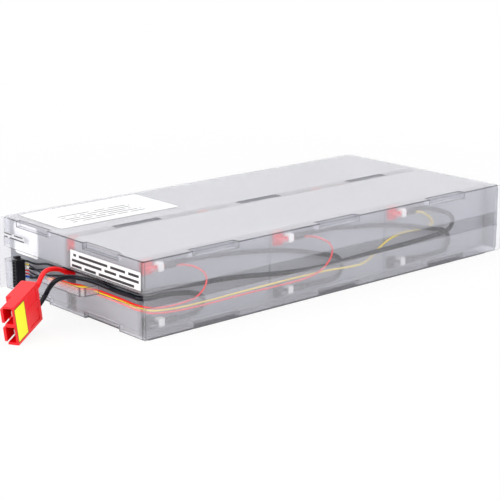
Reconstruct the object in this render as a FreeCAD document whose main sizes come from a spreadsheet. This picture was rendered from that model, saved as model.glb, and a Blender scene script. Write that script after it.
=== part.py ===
import FreeCAD, Part
import math
import os
from types import SimpleNamespace

import Sketcher

# Battery cartridge for a rack uninterruptible power supply: six sealed 12 V batteries on their sides, in two
# rows of three, held by adhesive sheets between two thin formed trays, with a flat sheet over each long side.
# +X runs along the long side away from the cable end, the long side with the wiring faces -Y, +Z is up, and
# the origin is under the middle.

SIZES = (
    ("cell_length", 151.0, "battery, long side"),
    ("cell_width", 65.0, "battery, short side"),
    ("cell_depth", 94.0, "battery, base to the top of its cover"),
    ("cover_depth", 8.0, "height of the battery's cover"),
    ("cell_corner", 2.5, "radius of the battery's upright edges"),
    ("cell_edge", 1.0, "chamfer on the battery's base and cover"),
    ("cell_gap", 0.5, "gap between neighbours in a row"),
    ("end_gap", 6.0, "short side's outer face to the batteries"),
    ("front_channel", 15.0, "long side's outer face to the front covers"),
    ("middle_channel", 14.0, "front row's bases to the rear covers"),
    ("rear_gap", 4.0, "rear row's bases to the other long side"),
    ("strip_sheet", 1.7, "thickness of the adhesive sheets"),
    ("tray_sheet", 0.8, "thickness of the formed plastic sheet"),
    ("tray_gap", 13.2, "open height between the two trays' rims"),
    ("draft_angle", 1.5, "lean of the tray walls, in degrees"),
    ("tray_corner", 3.5, "radius of the trays' upright corners"),
    ("tray_edge", 1.2, "radius round the floor of each tray"),
    ("recess_length", 52.0, "length of every edge recess and slot"),
    ("recess_height", 5.6, "height of the edge recesses"),
    ("side_recess", 8.0, "how far the long side's recesses go in"),
    ("end_recess", 5.0, "how far the short side's recesses go in"),
    ("slot_width", 8.0, "width of the slots between the rows"),
    ("slot_depth", 6.0, "depth of the slots between the rows"),
    ("lip_reach", 17.5, "how far the cable shelf stands out"),
    ("lip_near", 45.5, "cable shelf's near end, from the middle"),
    ("lip_far", 20.0, "cable shelf's far end, from the middle"),
    ("lip_height", 7.5, "height of the fence on the cable shelf"),
    ("lip_corner", 6.0, "plan radius of the fence"),
    ("terminal_inset", 8.6, "terminal's middle from the battery's end"),
    ("terminal_pitch", 49.6, "between a battery's two terminals"),
    ("base_length", 11.0, "coloured terminal base, along the battery"),
    ("base_width", 12.0, "coloured terminal base, across the battery"),
    ("base_height", 3.0, "coloured terminal base"),
    ("well_depth", 1.0, "how deep the base sits in the cover"),
    ("well_gap", 0.4, "play round the base"),
    ("blade_width", 6.35, "quarter inch blade"),
    ("blade_sheet", 0.8, "blade's thickness"),
    ("blade_height", 7.9, "blade's height over its base"),
    ("grip_wall", 0.9, "receptacle's wall round the blade"),
    ("barrel_length", 11.7, "receptacle's crimp barrel"),
    ("barrel_size", 4.2, "diameter of the crimp barrel"),
    ("insulator_length", 6.0, "white insulator on the barrel"),
    ("insulator_height", 8.0, "white insulator, across the battery"),
    ("insulator_width", 6.4, "white insulator, out of the cover"),
    ("insulator_start", 7.4, "insulator's start from the blade's middle"),
    ("sleeve_length", 12.0, "shrink sleeve behind the barrel"),
    ("sleeve_size", 6.6, "diameter of the shrink sleeve"),
    ("axis_height", 5.0, "cable axis over the battery's cover"),
    ("cable_size", 4.4, "power cable's diameter"),
    ("sense_size", 1.5, "sense wire's diameter"),
    ("strip_length", 143.0, "adhesive sheet, along the battery"),
    ("strip_width", 86.0, "adhesive sheet, across the battery"),
    ("side_sheet", 0.4, "thickness of the flat sheets over the long sides"),
    ("side_overhang", 4.0, "how far each side sheet stands past one end"),
    ("side_short", 0.3, "side sheet's edges from the top and the floor"),
    ("side_corner", 1.5, "radius of the side sheets' corners"),
    ("plug_length", 47.5, "power plug, front to back"),
    ("plug_height", 36.5, "power plug, across its two poles"),
    ("plug_width", 16.0, "power plug's rear block, thickness"),
    ("hood_length", 17.5, "power plug's open front"),
    ("hood_width", 10.0, "power plug's open front, thickness"),
    ("plug_wall", 2.0, "power plug's outer walls"),
    ("plug_partition", 3.0, "wall between the two poles"),
    ("tongue_gap", 0.6, "space between hood and tongue"),
    ("tongue_width", 2.3, "thickness of the plug's tongues"),
    ("tongue_height", 13.0, "height of the plug's tongues"),
    ("pole_reach", 26.0, "depth of a pole's cavity"),
    ("pole_throat", 6.0, "height of a pole's inner cavity"),
    ("bore_depth", 4.0, "cable's seat in the back of the plug"),
    ("bore_play", 0.8, "play round the cable in its seat"),
    ("contact_sheet", 1.6, "thickness of a pole's contact"),
    ("contact_height", 5.0, "height of a pole's contact"),
    ("plug_turn", 30.4, "plug's turn about the upright, in degrees"),
    ("plug_lift", 12.1, "rise of the plug towards its back, in degrees"),
    ("plug_off", 85.2, "plug's lowest corner, out from the end wall"),
    ("plug_side", 49.3, "plug's lowest corner, from the middle"),
    ("sense_length", 10.0, "sense plug, front to back"),
    ("sense_width", 6.0, "sense plug, thickness"),
    ("sense_height", 26.0, "sense plug, along its row"),
    ("sense_pitch", 3.0, "sense plug's pole pitch"),
    ("sense_hole_wide", 3.6, "sense plug's hole, across"),
    ("sense_hole_high", 1.8, "sense plug's hole, along the row"),
    ("sense_hole_deep", 6.0, "sense plug's hole, depth"),
    ("sense_off", 15.0, "sense plug's front from the end wall"),
    ("sense_side", 67.0, "sense plug's middle, from the middle"),
    ("sense_up", 12.0, "sense plug's foot over the floor"),
    ("label_sheet", 0.15, "thickness of the labels"),
)
SENSE_POLES = 8
CELLS = 3
ROWS = ("front", "rear")

v = SimpleNamespace(**{name: value for name, value, note in SIZES})
DOC = FreeCAD.newDocument("battery_cartridge")
SHEET = DOC.addObject("Spreadsheet::Sheet", "Sizes")
for line, (name, value, note) in enumerate(SIZES, 1):
    SHEET.set(f"A{line}", name)
    SHEET.set(f"B{line}", str(value))
    SHEET.setAlias(f"B{line}", name)
    SHEET.set(f"C{line}", note)
DOC.recompute()

# Places that follow from the sizes. The shelf and the side sheets' overhang count in the overall length, so the
# trays sit off the middle.
TRAY_LENGTH = CELLS * v.cell_length + (CELLS - 1) * v.cell_gap + 2 * v.end_gap
TRAY_WIDTH = v.front_channel + 2 * v.cell_depth + v.middle_channel + v.rear_gap
PACK_HEIGHT = v.cell_width + 2 * v.strip_sheet + 2 * v.tray_sheet
TRAY_DEPTH = (PACK_HEIGHT - v.tray_gap) / 2
END_X = (v.lip_reach - v.side_overhang - TRAY_LENGTH) / 2
FRONT_Y = -TRAY_WIDTH / 2
MIDDLE_Z = PACK_HEIGHT / 2
COVER_Y = {"front": FRONT_Y + v.front_channel}
COVER_Y["rear"] = COVER_Y["front"] + v.cell_depth + v.middle_channel
SLEEVE_START = v.insulator_start + v.insulator_length + 2.0
CABLE_START = v.terminal_inset + SLEEVE_START + v.sleeve_length

# The same places as formulas for the sketches and features.
LENGTH_F = f"({CELLS} * Sizes.cell_length + {CELLS - 1} * Sizes.cell_gap + 2 * Sizes.end_gap)"
WIDTH_F = "(Sizes.front_channel + 2 * Sizes.cell_depth + Sizes.middle_channel + Sizes.rear_gap)"
HEIGHT_F = "(Sizes.cell_width + 2 * Sizes.strip_sheet + 2 * Sizes.tray_sheet)"
DEPTH_F = f"(({HEIGHT_F} - Sizes.tray_gap) / 2)"
END_F = f"(Sizes.lip_reach - Sizes.side_overhang - {LENGTH_F}) / 2"
FAR_END_F = f"(Sizes.lip_reach - Sizes.side_overhang + {LENGTH_F}) / 2"
LEAN_F = f"{DEPTH_F} * tan(Sizes.draft_angle)"
HALF_F = f"{WIDTH_F} / 2"
SLOT_F = f"(Sizes.front_channel + Sizes.cell_depth + Sizes.middle_channel / 2 - {HALF_F})"


def middle_f(cell):
    """Formula of a battery's middle along its row."""
    return f"{END_F} + Sizes.end_gap + {cell + 0.5} * Sizes.cell_length + {cell} * Sizes.cell_gap"


PIECES = []


def cell_start(cell):
    """Left end of a battery, counted from 0 at the cable end."""
    return END_X + v.end_gap + cell * (v.cell_length + v.cell_gap)


def spot(row, cell, along, out, up):
    """A point along a battery from its left end, out from its cover and up from the mid height."""
    return FreeCAD.Vector(cell_start(cell) + along, COVER_Y[row] - out, MIDDLE_Z + up)


def plane(body, role):
    return next(f for f in body.Origin.OriginFeatures if f.Role == role)


def new_body(label):
    body = DOC.addObject("PartDesign::Body", label)
    body.Label = label
    PIECES.append(body)
    return body


def sketch_on(body, name, role, offset="0"):
    sketch = body.newObject("Sketcher::SketchObject", name)
    sketch.AttachmentSupport = (plane(body, role), [""])
    sketch.MapMode = "FlatFace"
    sketch.setExpression("AttachmentOffset.Base.z", offset)
    return sketch


def tie(sketch, kind, where, tag, formula):
    """Holds a sketch point at a distance from the origin that the sheet gives."""
    index = sketch.addConstraint(Sketcher.Constraint(kind, -1, 1, *where, 1.0))
    sketch.renameConstraint(index, tag)
    sketch.setExpression(f"Constraints.{tag}", formula)


def rectangle(sketch, tag, left, right, front, back):
    """A rectangle whose four sides each have a formula."""
    first = sketch.GeometryCount
    corners = [FreeCAD.Vector(x, y, 0) for x, y in ((0, 0), (1, 0), (1, 1), (0, 1))]
    for start, stop in zip(corners, corners[1:] + corners[:1]):
        sketch.addGeometry(Part.LineSegment(start, stop))
    for side in range(4):
        sketch.addConstraint(Sketcher.Constraint("Coincident", first + side, 2, first + (side + 1) % 4, 1))
        turn = "Horizontal" if side % 2 == 0 else "Vertical"
        sketch.addConstraint(Sketcher.Constraint(turn, first + side))
    tie(sketch, "DistanceX", (first, 1), f"{tag}_left", left)
    tie(sketch, "DistanceX", (first + 1, 1), f"{tag}_right", right)
    tie(sketch, "DistanceY", (first, 1), f"{tag}_front", front)
    tie(sketch, "DistanceY", (first + 2, 1), f"{tag}_back", back)


def circle(sketch, tag, along, across, diameter):
    """A circle whose middle and diameter each have a formula."""
    index = sketch.addGeometry(Part.Circle(FreeCAD.Vector(1, 1, 0), FreeCAD.Vector(0, 0, 1), 1))
    tie(sketch, "DistanceX", (index, 3), f"{tag}_along", along)
    tie(sketch, "DistanceY", (index, 3), f"{tag}_across", across)
    size = sketch.addConstraint(Sketcher.Constraint("Diameter", index, 2.0))
    sketch.renameConstraint(size, f"{tag}_size")
    sketch.setExpression(f"Constraints.{tag}_size", diameter)


def extrude(body, kind, name, sketch, length, taper="0", reverse=False):
    """A pad or a pocket, by formula."""
    feature = body.newObject(f"PartDesign::{kind}", name)
    feature.Profile = sketch
    feature.setExpression("Length", length)
    feature.setExpression("TaperAngle", taper)
    feature.Reversed = reverse
    DOC.recompute()
    return feature


def dress(body, kind, name, base, size, chosen):
    """A fillet or a chamfer on the edges that pass a test."""
    edges = [f"Edge{n}" for n, edge in enumerate(base.Shape.Edges, 1) if chosen(edge.BoundBox)]
    feature = body.newObject(f"PartDesign::{kind}", name)
    feature.Base = (base, edges)
    feature.setExpression("Radius" if kind == "Fillet" else "Size", size)
    DOC.recompute()
    return feature


def upright(box, least=0.5):
    return box.ZLength > least and box.XLength < 1.5 and box.YLength < 1.5


def near(value, target, slack=0.01):
    return abs(value - target) < slack


def flat_at(height):
    return lambda box: near(box.ZMin, height) and near(box.ZMax, height)


def at(body, x, y, z, axis=(0, 0, 1), turn=0):
    body.Placement = FreeCAD.Placement(
        FreeCAD.Vector(x, y, z), FreeCAD.Rotation(FreeCAD.Vector(*axis), turn)
    )


# Formed trays

def recess_rectangles(side, grow, outside):
    """The plan of every recess in a tray: three on the long side, two on the short side. grow is the sheet
    round them, and outside is how far they reach past the wall."""
    plans = []
    half = "Sizes.recess_length / 2"
    for cell in range(CELLS):
        middle = middle_f(cell)
        inner = f"{HALF_F} - Sizes.side_recess - {grow}"
        outer = f"{HALF_F} + {outside}"
        front, back = (f"-({outer})", f"-({inner})") if side < 0 else (inner, outer)
        left, right = f"{middle} - {half} - {grow}", f"{middle} + {half} + {grow}"
        plans.append((f"long_{cell}", left, right, front, back))
    for index, row in enumerate(ROWS):
        depth = "Sizes.front_channel + Sizes.cell_depth / 2"
        if row == "rear":
            depth += " + Sizes.cell_depth + Sizes.middle_channel"
        middle = f"{side} * ({HALF_F} - ({depth}))"
        plans.append(
            (
                f"short_{index}",
                f"{END_F} - {outside}",
                f"{END_F} + Sizes.end_recess + {grow}",
                f"{middle} - {half} - {grow}",
                f"{middle} + {half} + {grow}",
            )
        )
    return plans


def slot_rectangles(side, grow):
    plans = []
    for cell in range(CELLS):
        middle = middle_f(cell)
        across = f"{-side} * {SLOT_F}"
        half_x, half_y = f"Sizes.recess_length / 2 + {grow}", f"Sizes.slot_width / 2 + {grow}"
        plans.append(
            (
                f"slot_{cell}",
                f"{middle} - ({half_x})",
                f"{middle} + {half_x}",
                f"{across} - ({half_y})",
                f"{across} + {half_y}",
            )
        )
    return plans


def tray(label, side):
    """A tray with its floor down. Its wiring side faces -Y for side -1, and +Y for side 1, which is turned
    over afterwards."""
    body = new_body(label)
    floor = sketch_on(body, f"{label}_floor", "XY_Plane")
    rectangle(
        floor, "floor", f"{END_F} + {LEAN_F}", f"{FAR_END_F} - {LEAN_F}",
        f"-({HALF_F} - {LEAN_F})", f"{HALF_F} - {LEAN_F}",
    )
    block = extrude(body, "Pad", f"{label}_block", floor, DEPTH_F, "Sizes.draft_angle")
    block = dress(body, "Fillet", f"{label}_corners", block, "Sizes.tray_corner", upright)
    rim = next(n for n, face in enumerate(block.Shape.Faces, 1) if near(face.BoundBox.ZMin, TRAY_DEPTH))
    shell = body.newObject("PartDesign::Thickness", f"{label}_shell")
    shell.Base = (block, [f"Face{rim}"])
    shell.setExpression("Value", "Sizes.tray_sheet")
    shell.Reversed = True
    DOC.recompute()
    dress(body, "Fillet", f"{label}_edge", shell, "Sizes.tray_edge", flat_at(0))

    sheet = "Sizes.tray_sheet"
    ribs = sketch_on(body, f"{label}_recess_walls", "XY_Plane")
    for plan in recess_rectangles(side, sheet, f"(-{LEAN_F} - {sheet} / 2)"):
        rectangle(ribs, *plan)
    extrude(body, "Pad", f"{label}_recess_blocks", ribs, f"Sizes.recess_height + {sheet}")
    wells = sketch_on(body, f"{label}_slot_walls", "XY_Plane")
    for plan in slot_rectangles(side, sheet):
        rectangle(wells, *plan)
    extrude(body, "Pad", f"{label}_slot_blocks", wells, f"Sizes.slot_depth + {sheet}")
    recesses = sketch_on(body, f"{label}_recesses", "XY_Plane")
    for plan in recess_rectangles(side, "0", "2"):
        rectangle(recesses, *plan)
    extrude(body, "Pocket", f"{label}_edge_recesses", recesses, "Sizes.recess_height", reverse=True)
    slots = sketch_on(body, f"{label}_slots", "XY_Plane")
    for plan in slot_rectangles(side, "0"):
        rectangle(slots, *plan)
    extrude(body, "Pocket", f"{label}_slot_recesses", slots, "Sizes.slot_depth", reverse=True)
    return body


def cable_shelf(body):
    """The shelf that stands out of the lower tray's rim, with a fence round its outer edge."""
    sheet = "Sizes.tray_sheet"
    outline = sketch_on(body, "shelf_outline", "XY_Plane", f"{DEPTH_F} - {sheet}")
    rectangle(
        outline, "shelf", f"{END_F} - Sizes.lip_reach", f"{END_F} + {sheet}", "-Sizes.lip_near", "Sizes.lip_far"
    )
    extrude(body, "Pad", "shelf_block", outline, f"Sizes.lip_height + {sheet}")
    lip_x = END_X - v.lip_reach
    trough = sketch_on(body, "shelf_trough", "XY_Plane", DEPTH_F)
    rectangle(
        trough, "trough", f"{END_F} - Sizes.lip_reach + {sheet}", f"{END_F} + 2 * {sheet}",
        f"{sheet} - Sizes.lip_near", "Sizes.lip_far + 1",
    )
    hollow = extrude(body, "Pocket", "shelf_hollow", trough, "Sizes.lip_height + 1", reverse=True)
    inner = dress(
        body, "Fillet", "shelf_inner_corner", hollow, f"Sizes.lip_corner - {sheet}",
        lambda box: upright(box) and near(box.XMin, lip_x + v.tray_sheet)
        and near(box.YMin, v.tray_sheet - v.lip_near),
    )
    dress(
        body, "Fillet", "shelf_corner", inner, "Sizes.lip_corner",
        lambda box: upright(box) and near(box.XMin, lip_x) and near(box.YMin, -v.lip_near),
    )


lower_tray = tray("lower_tray", -1)
cable_shelf(lower_tray)
upper_tray = tray("upper_tray", 1)
at(upper_tray, 0, 0, PACK_HEIGHT, (1, 0, 0), 180)


def side_sheet(row, left, right, plane_out):
    """A flat sheet over a long side, flush with one end of the trays and standing past the other."""
    body = new_body(f"side_sheet_{row}")
    outline = sketch_on(body, f"side_sheet_{row}_outline", "XZ_Plane", plane_out)
    rectangle(outline, "sheet", left, right, "Sizes.side_short", f"{HEIGHT_F} - Sizes.side_short")
    block = extrude(body, "Pad", f"side_sheet_{row}_block", outline, "Sizes.side_sheet")
    dress(
        body, "Fillet", f"side_sheet_{row}_corners", block, "Sizes.side_corner",
        lambda box: near(box.XLength, 0) and near(box.ZLength, 0),
    )


side_sheet("front", END_F, f"{FAR_END_F} + Sizes.side_overhang", HALF_F)
side_sheet("rear", f"{END_F} - Sizes.side_overhang", FAR_END_F, f"-{HALF_F} - Sizes.side_sheet")


# Batteries, each drawn upright and then laid on its side with the cover towards -Y

def battery(row, cell):
    place = (cell_start(cell), COVER_Y[row] + v.cell_depth, MIDDLE_Z)
    half = "Sizes.cell_width / 2"
    number = cell + 1
    case = new_body(f"battery_case_{row}_{number}")
    plan = sketch_on(case, f"{case.Label}_plan", "XY_Plane")
    rectangle(plan, "plan", "0", "Sizes.cell_length", f"-{half}", half)
    block = extrude(case, "Pad", f"{case.Label}_block", plan, "Sizes.cell_depth - Sizes.cover_depth")
    block = dress(case, "Fillet", f"{case.Label}_corners", block, "Sizes.cell_corner", upright)
    dress(case, "Chamfer", f"{case.Label}_foot", block, "Sizes.cell_edge", flat_at(0))

    cover = new_body(f"battery_cover_{row}_{number}")
    plan = sketch_on(cover, f"{cover.Label}_plan", "XY_Plane", "Sizes.cell_depth - Sizes.cover_depth")
    rectangle(plan, "plan", "0", "Sizes.cell_length", f"-{half}", half)
    block = extrude(cover, "Pad", f"{cover.Label}_block", plan, "Sizes.cover_depth")
    block = dress(cover, "Fillet", f"{cover.Label}_corners", block, "Sizes.cell_corner", upright)
    dress(cover, "Chamfer", f"{cover.Label}_edge", block, "Sizes.cell_edge", flat_at(v.cell_depth))
    wells = sketch_on(cover, f"{cover.Label}_wells", "XY_Plane", "Sizes.cell_depth")
    for name, sign in (("minus", -1), ("plus", 1)):
        half_x = "(Sizes.base_length / 2 + Sizes.well_gap)"
        half_y = "(Sizes.base_width / 2 + Sizes.well_gap)"
        middle = f"{sign} * Sizes.terminal_pitch / 2"
        rectangle(
            wells, name, f"Sizes.terminal_inset - {half_x}", f"Sizes.terminal_inset + {half_x}",
            f"{middle} - {half_y}", f"{middle} + {half_y}",
        )
    extrude(cover, "Pocket", f"{cover.Label}_terminal_wells", wells, "Sizes.well_depth")
    for body in (case, cover):
        at(body, *place, (1, 0, 0), 90)


for row in ROWS:
    for cell in range(CELLS):
        battery(row, cell)


# Terminals and what is crimped on their cables. Like pieces of a row share a node.

def bound(kind, name, **formulas):
    """A primitive whose sizes are formulas."""
    item = DOC.addObject(f"Part::{kind}", name)
    for prop, formula in formulas.items():
        item.setExpression(prop, formula)
    return item


def group(label, items):
    node = DOC.addObject("Part::Compound", label)
    node.Label = label
    node.Links = items
    PIECES.append(node)
    return node


def box_at(name, corner, length, width, height):
    box = bound("Box", name, Length=length, Width=width, Height=height)
    box.Placement.Base = corner
    return box


def rod_at(name, start, length, diameter):
    """A rod that lies along +X from its start."""
    rod = bound("Cylinder", name, Radius=f"{diameter} / 2", Height=length)
    rod.Placement = FreeCAD.Placement(start, FreeCAD.Rotation(FreeCAD.Vector(0, 1, 0), 90))
    return rod


def terminal_base(tag, row, cell, up):
    top = v.base_height - v.well_depth
    corner = spot(row, cell, v.terminal_inset - v.base_length / 2, top, up - v.base_width / 2)
    base = box_at(f"{tag}_base", corner, "Sizes.base_length", "Sizes.base_height", "Sizes.base_width")
    DOC.recompute()
    soft = DOC.addObject("Part::Fillet", f"{tag}_soft")
    soft.Base = base
    edges = [n for n, e in enumerate(base.Shape.Edges, 1) if e.BoundBox.YLength > 0.9 * v.base_height]
    soft.Edges = [(n, 1.5, 1.5) for n in edges]
    return soft


def blade(tag, row, cell, up):
    foot = v.base_height - v.well_depth
    corner = spot(
        row, cell, v.terminal_inset - v.blade_width / 2, foot + v.blade_height, up - v.blade_sheet / 2
    )
    return box_at(f"{tag}_blade", corner, "Sizes.blade_width", "Sizes.blade_height", "Sizes.blade_sheet")


def receptacle(tag, row, cell, up):
    """A flag receptacle: a grip slid over the blade, with its crimp barrel at a right angle."""
    foot = v.base_height - v.well_depth
    grip_size = v.blade_width + 2 * v.grip_wall
    corner = spot(
        row, cell, v.terminal_inset - grip_size / 2, foot + v.blade_height,
        up - v.blade_sheet / 2 - v.grip_wall,
    )
    grip = box_at(
        f"{tag}_grip", corner, "Sizes.blade_width + 2 * Sizes.grip_wall", "Sizes.blade_height - 0.5",
        "Sizes.blade_sheet + 2 * Sizes.grip_wall",
    )
    start = spot(row, cell, v.terminal_inset + grip_size / 2 - 0.6, v.axis_height, up)
    barrel = rod_at(f"{tag}_barrel", start, "Sizes.barrel_length", "Sizes.barrel_size")
    whole = DOC.addObject("Part::Fuse", f"{tag}_whole")
    whole.Base, whole.Tool = grip, barrel
    blade_gap = box_at(
        f"{tag}_mouth", spot(
            row, cell, v.terminal_inset - v.blade_width / 2, foot + v.blade_height + 1, up - v.blade_sheet / 2
        ),
        "Sizes.blade_width", "Sizes.blade_height + 2", "Sizes.blade_sheet",
    )
    piece = DOC.addObject("Part::Cut", f"{tag}_receptacle")
    piece.Base, piece.Tool = whole, blade_gap
    return piece


def insulator(tag, row, cell, up):
    corner = spot(
        row, cell, v.terminal_inset + v.insulator_start, v.axis_height + v.insulator_width / 2,
        up - v.insulator_height / 2,
    )
    block = box_at(
        f"{tag}_insulator_block", corner, "Sizes.insulator_length", "Sizes.insulator_width",
        "Sizes.insulator_height",
    )
    DOC.recompute()
    soft = DOC.addObject("Part::Fillet", f"{tag}_insulator_soft")
    soft.Base = block
    edges = [n for n, e in enumerate(block.Shape.Edges, 1) if e.BoundBox.XLength > 0.9 * v.insulator_length]
    soft.Edges = [(n, 1.2, 1.2) for n in edges]
    hole = rod_at(
        f"{tag}_insulator_hole", spot(row, cell, v.terminal_inset + v.insulator_start - 1, v.axis_height, up),
        "Sizes.insulator_length + 2", "Sizes.barrel_size",
    )
    piece = DOC.addObject("Part::Cut", f"{tag}_insulator")
    piece.Base, piece.Tool = soft, hole
    return piece


def sleeve(tag, row, cell, up):
    start = spot(row, cell, v.terminal_inset + SLEEVE_START, v.axis_height, up)
    return rod_at(f"{tag}_sleeve", start, "Sizes.sleeve_length", "Sizes.sleeve_size")


for row in ROWS:
    made = {"base_minus": [], "base_plus": [], "blade": [], "receptacle": [], "insulator": [], "sleeve": []}
    for cell in range(CELLS):
        for pole, sign in (("minus", -1), ("plus", 1)):
            tag = f"{row}_{cell + 1}_{pole}"
            height = sign * v.terminal_pitch / 2
            made[f"base_{pole}"].append(terminal_base(tag, row, cell, height))
            made["blade"].append(blade(tag, row, cell, height))
            made["receptacle"].append(receptacle(tag, row, cell, height))
            made["insulator"].append(insulator(tag, row, cell, height))
            made["sleeve"].append(sleeve(tag, row, cell, height))
    group(f"positive_terminal_bases_{row}", made["base_plus"])
    group(f"negative_terminal_bases_{row}", made["base_minus"])
    group(f"terminal_blades_{row}", made["blade"])
    group(f"receptacles_{row}", made["receptacle"])
    group(f"receptacle_insulators_{row}", made["insulator"])
    group(f"shrink_sleeves_{row}", made["sleeve"])


# Adhesive sheets, one under and one over each battery

strips = []
for row in ROWS:
    for cell in range(CELLS):
        for name, height in (("under", v.tray_sheet), ("over", PACK_HEIGHT - v.tray_sheet - v.strip_sheet)):
            corner = FreeCAD.Vector(
                cell_start(cell) + (v.cell_length - v.strip_length) / 2,
                COVER_Y[row] + (v.cell_depth - v.strip_width) / 2,
                height,
            )
            strips.append(
                box_at(
                    f"strip_{name}_{row}_{cell + 1}", corner, "Sizes.strip_length", "Sizes.strip_width",
                    "Sizes.strip_sheet",
                )
            )
group("adhesive_strips", strips)


# Cables and wires

def route_wire(points):
    """Straight runs joined by tangent arcs, each as large as its two runs allow."""
    edges = []
    here = points[0]
    tightest = None
    for before, corner, after in zip(points, points[1:], points[2:]):
        into, away = (corner - before), (after - corner)
        half_turn = into.getAngle(away) / 2
        reach = 0.45 * min(into.Length, away.Length)
        radius = reach / math.tan(half_turn)
        tightest = radius if tightest is None else min(tightest, radius)
        into.normalize()
        away.normalize()
        start, stop = corner - into * reach, corner + away * reach
        inward = away - into
        inward.normalize()
        middle = corner + inward * (radius / math.cos(half_turn) - radius)
        edges.append(Part.LineSegment(here, start).toShape())
        edges.append(Part.Arc(start, middle, stop).toShape())
        here = stop
    edges.append(Part.LineSegment(here, points[-1]).toShape())
    return Part.Wire(edges), tightest


def tube(label, points, diameter):
    """A cable or a wire as one round solid along its route."""
    spine, tightest = route_wire(points)
    along = points[1] - points[0]
    section = Part.Wire([Part.Circle(points[0], along, diameter / 2).toShape()])
    node = DOC.addObject("Part::Feature", label)
    node.Label = label
    shape = spine.makePipeShell([section], True, True)
    node.Shape = shape if shape.ShapeType == "Solid" else shape.Solids[0]
    node.Placement = FreeCAD.Placement()
    PIECES.append(node)
    wanted = math.pi * diameter**2 / 4 * spine.Length
    print(
        f"{label}: length {spine.Length:.0f}, tightest radius {tightest:.1f}"
        f" ({tightest / diameter:.1f} diameters), volume ratio {node.Shape.Volume / wanted:.4f}"
    )
    return node


POLE = v.terminal_pitch / 2
AXIS = v.axis_height
CABLE_UP = 0.9
WIRE_UP = -2.3

# How far each bundle lies out from the covers: the links next to them, the leads over the links, the sense
# wires outermost in the front channel, and innermost in the middle channel, whose positive lead is outermost.
LEAD_OUT = 9.7
WIRE_OUT = 12.9
YELLOW_OUT = 11.0
REAR_WIRE_OUT = 1.7
POSITIVE_OUT = 11.4


def spots(row, cell, places):
    return [spot(row, cell, *place) for place in places]


def plus_start(row, cell):
    """A power cable leaves the sleeve of a positive terminal straight."""
    return spots(row, cell, ((CABLE_START, AXIS, POLE + CABLE_UP), (CABLE_START + 14, AXIS, POLE + CABLE_UP)))


def minus_end(row, cell):
    return spots(row, cell, ((CABLE_START + 14, AXIS, -POLE), (CABLE_START, AXIS, -POLE)))


def link_cable(label, row, cell, falling, bend):
    """From one battery's positive terminal round to the next one's negative terminal."""
    points = plus_start(row, cell)
    points += [spot(row, cell, along, AXIS, up) for along, up in falling]
    points += [spot(row, cell + 1, along, AXIS, up) for along, up in bend]
    return tube(label, points + minus_end(row, cell + 1), v.cable_size)


for row in ROWS:
    link_cable(
        f"link_cable_{row}_1_2", row, 0, ((78, 24.3), (110, 21.4)),
        ((-4, 17.0), (33, 9.8), (60, 2.2), (80.6, -3.2), (87.5, -9.6), (87.5, -18.4), (81.2, -24.6),
         (66, -25.4)),
    )
    link_cable(
        f"link_cable_{row}_2_3", row, 1, ((78, 24.6), (110, 21.0)),
        ((-4, 16.6), (33, 8.8), (62, 2.0), (82.6, -2.8), (89.4, -9.4), (89.4, -18.6), (83, -24.9),
         (67, -25.3)),
    )

GAP_X = END_X + v.end_gap - v.cable_size / 2 - 0.3
HIGH_Z = MIDDLE_Z + 5.9
LOW_Z = MIDDLE_Z
BATTERY_BASE_Y = COVER_Y["rear"] - v.middle_channel


def round_front_corner(height):
    """The two points that take a lead from the front channel into the end gap."""
    return [
        FreeCAD.Vector(GAP_X + 6.7, COVER_Y["front"] - LEAD_OUT, height),
        FreeCAD.Vector(GAP_X, COVER_Y["front"] - 3.2, height),
    ]


row_link = plus_start("front", 2)
row_link += spots(
    "front", 2,
    ((68, 7.2, 21.0), (84.5, 8.8, 14.8), (90, LEAD_OUT, 8.8), (89.5, LEAD_OUT, 2.4), (84, LEAD_OUT, -2.0),
     (72, LEAD_OUT, -4.2), (50, LEAD_OUT, -5.3), (10, LEAD_OUT, -6.2)),
)
row_link += spots("front", 1, ((106, LEAD_OUT, -7.4), (52, LEAD_OUT, -9.4), (2, LEAD_OUT, -5.4)))
row_link += spots("front", 0, ((103, LEAD_OUT, 1.2), (55, LEAD_OUT, 3.6), (22, LEAD_OUT, 6.2)))
row_link += round_front_corner(HIGH_Z)
row_link += [
    FreeCAD.Vector(GAP_X, COVER_Y["front"] + 15, HIGH_Z + 0.3),
    FreeCAD.Vector(GAP_X, COVER_Y["front"] + 46, HIGH_Z - 0.2),
    FreeCAD.Vector(GAP_X, BATTERY_BASE_Y - 17, HIGH_Z + 0.2),
    FreeCAD.Vector(GAP_X, BATTERY_BASE_Y + 3.1, HIGH_Z),
]
row_link += spots(
    "rear", 0,
    ((3.5, 5.6, 5.9), (17, 5.8, 4.6), (38, 5.4, 0.8), (59.4, AXIS, -4.2), (66, AXIS, -10.4),
     (66, AXIS, -18.8), (60, AXIS, -24.6)),
)
row_link += minus_end("rear", 0)
tube("row_link_cable", row_link, v.cable_size)

negative_lead = minus_end("front", 0)[::-1]
negative_lead += spots(
    "front", 0,
    ((58.5, 5.4, -24.2), (65.6, 6.0, -20.0), (66.8, 6.8, -13.2), (61.5, 7.8, -7.6), (50, 9.2, -3.4),
     (34, LEAD_OUT, -0.8), (18, LEAD_OUT, 0.5)),
)
negative_lead += round_front_corner(LOW_Z)
negative_lead.append(FreeCAD.Vector(GAP_X, COVER_Y["front"] + 6, LOW_Z + 0.3))
NEGATIVE_EXIT = FreeCAD.Vector(GAP_X, COVER_Y["front"] + 25, LOW_Z)
negative_lead += [NEGATIVE_EXIT - FreeCAD.Vector(0, 9, 0), NEGATIVE_EXIT]
tube("negative_lead", negative_lead, v.cable_size)

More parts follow.
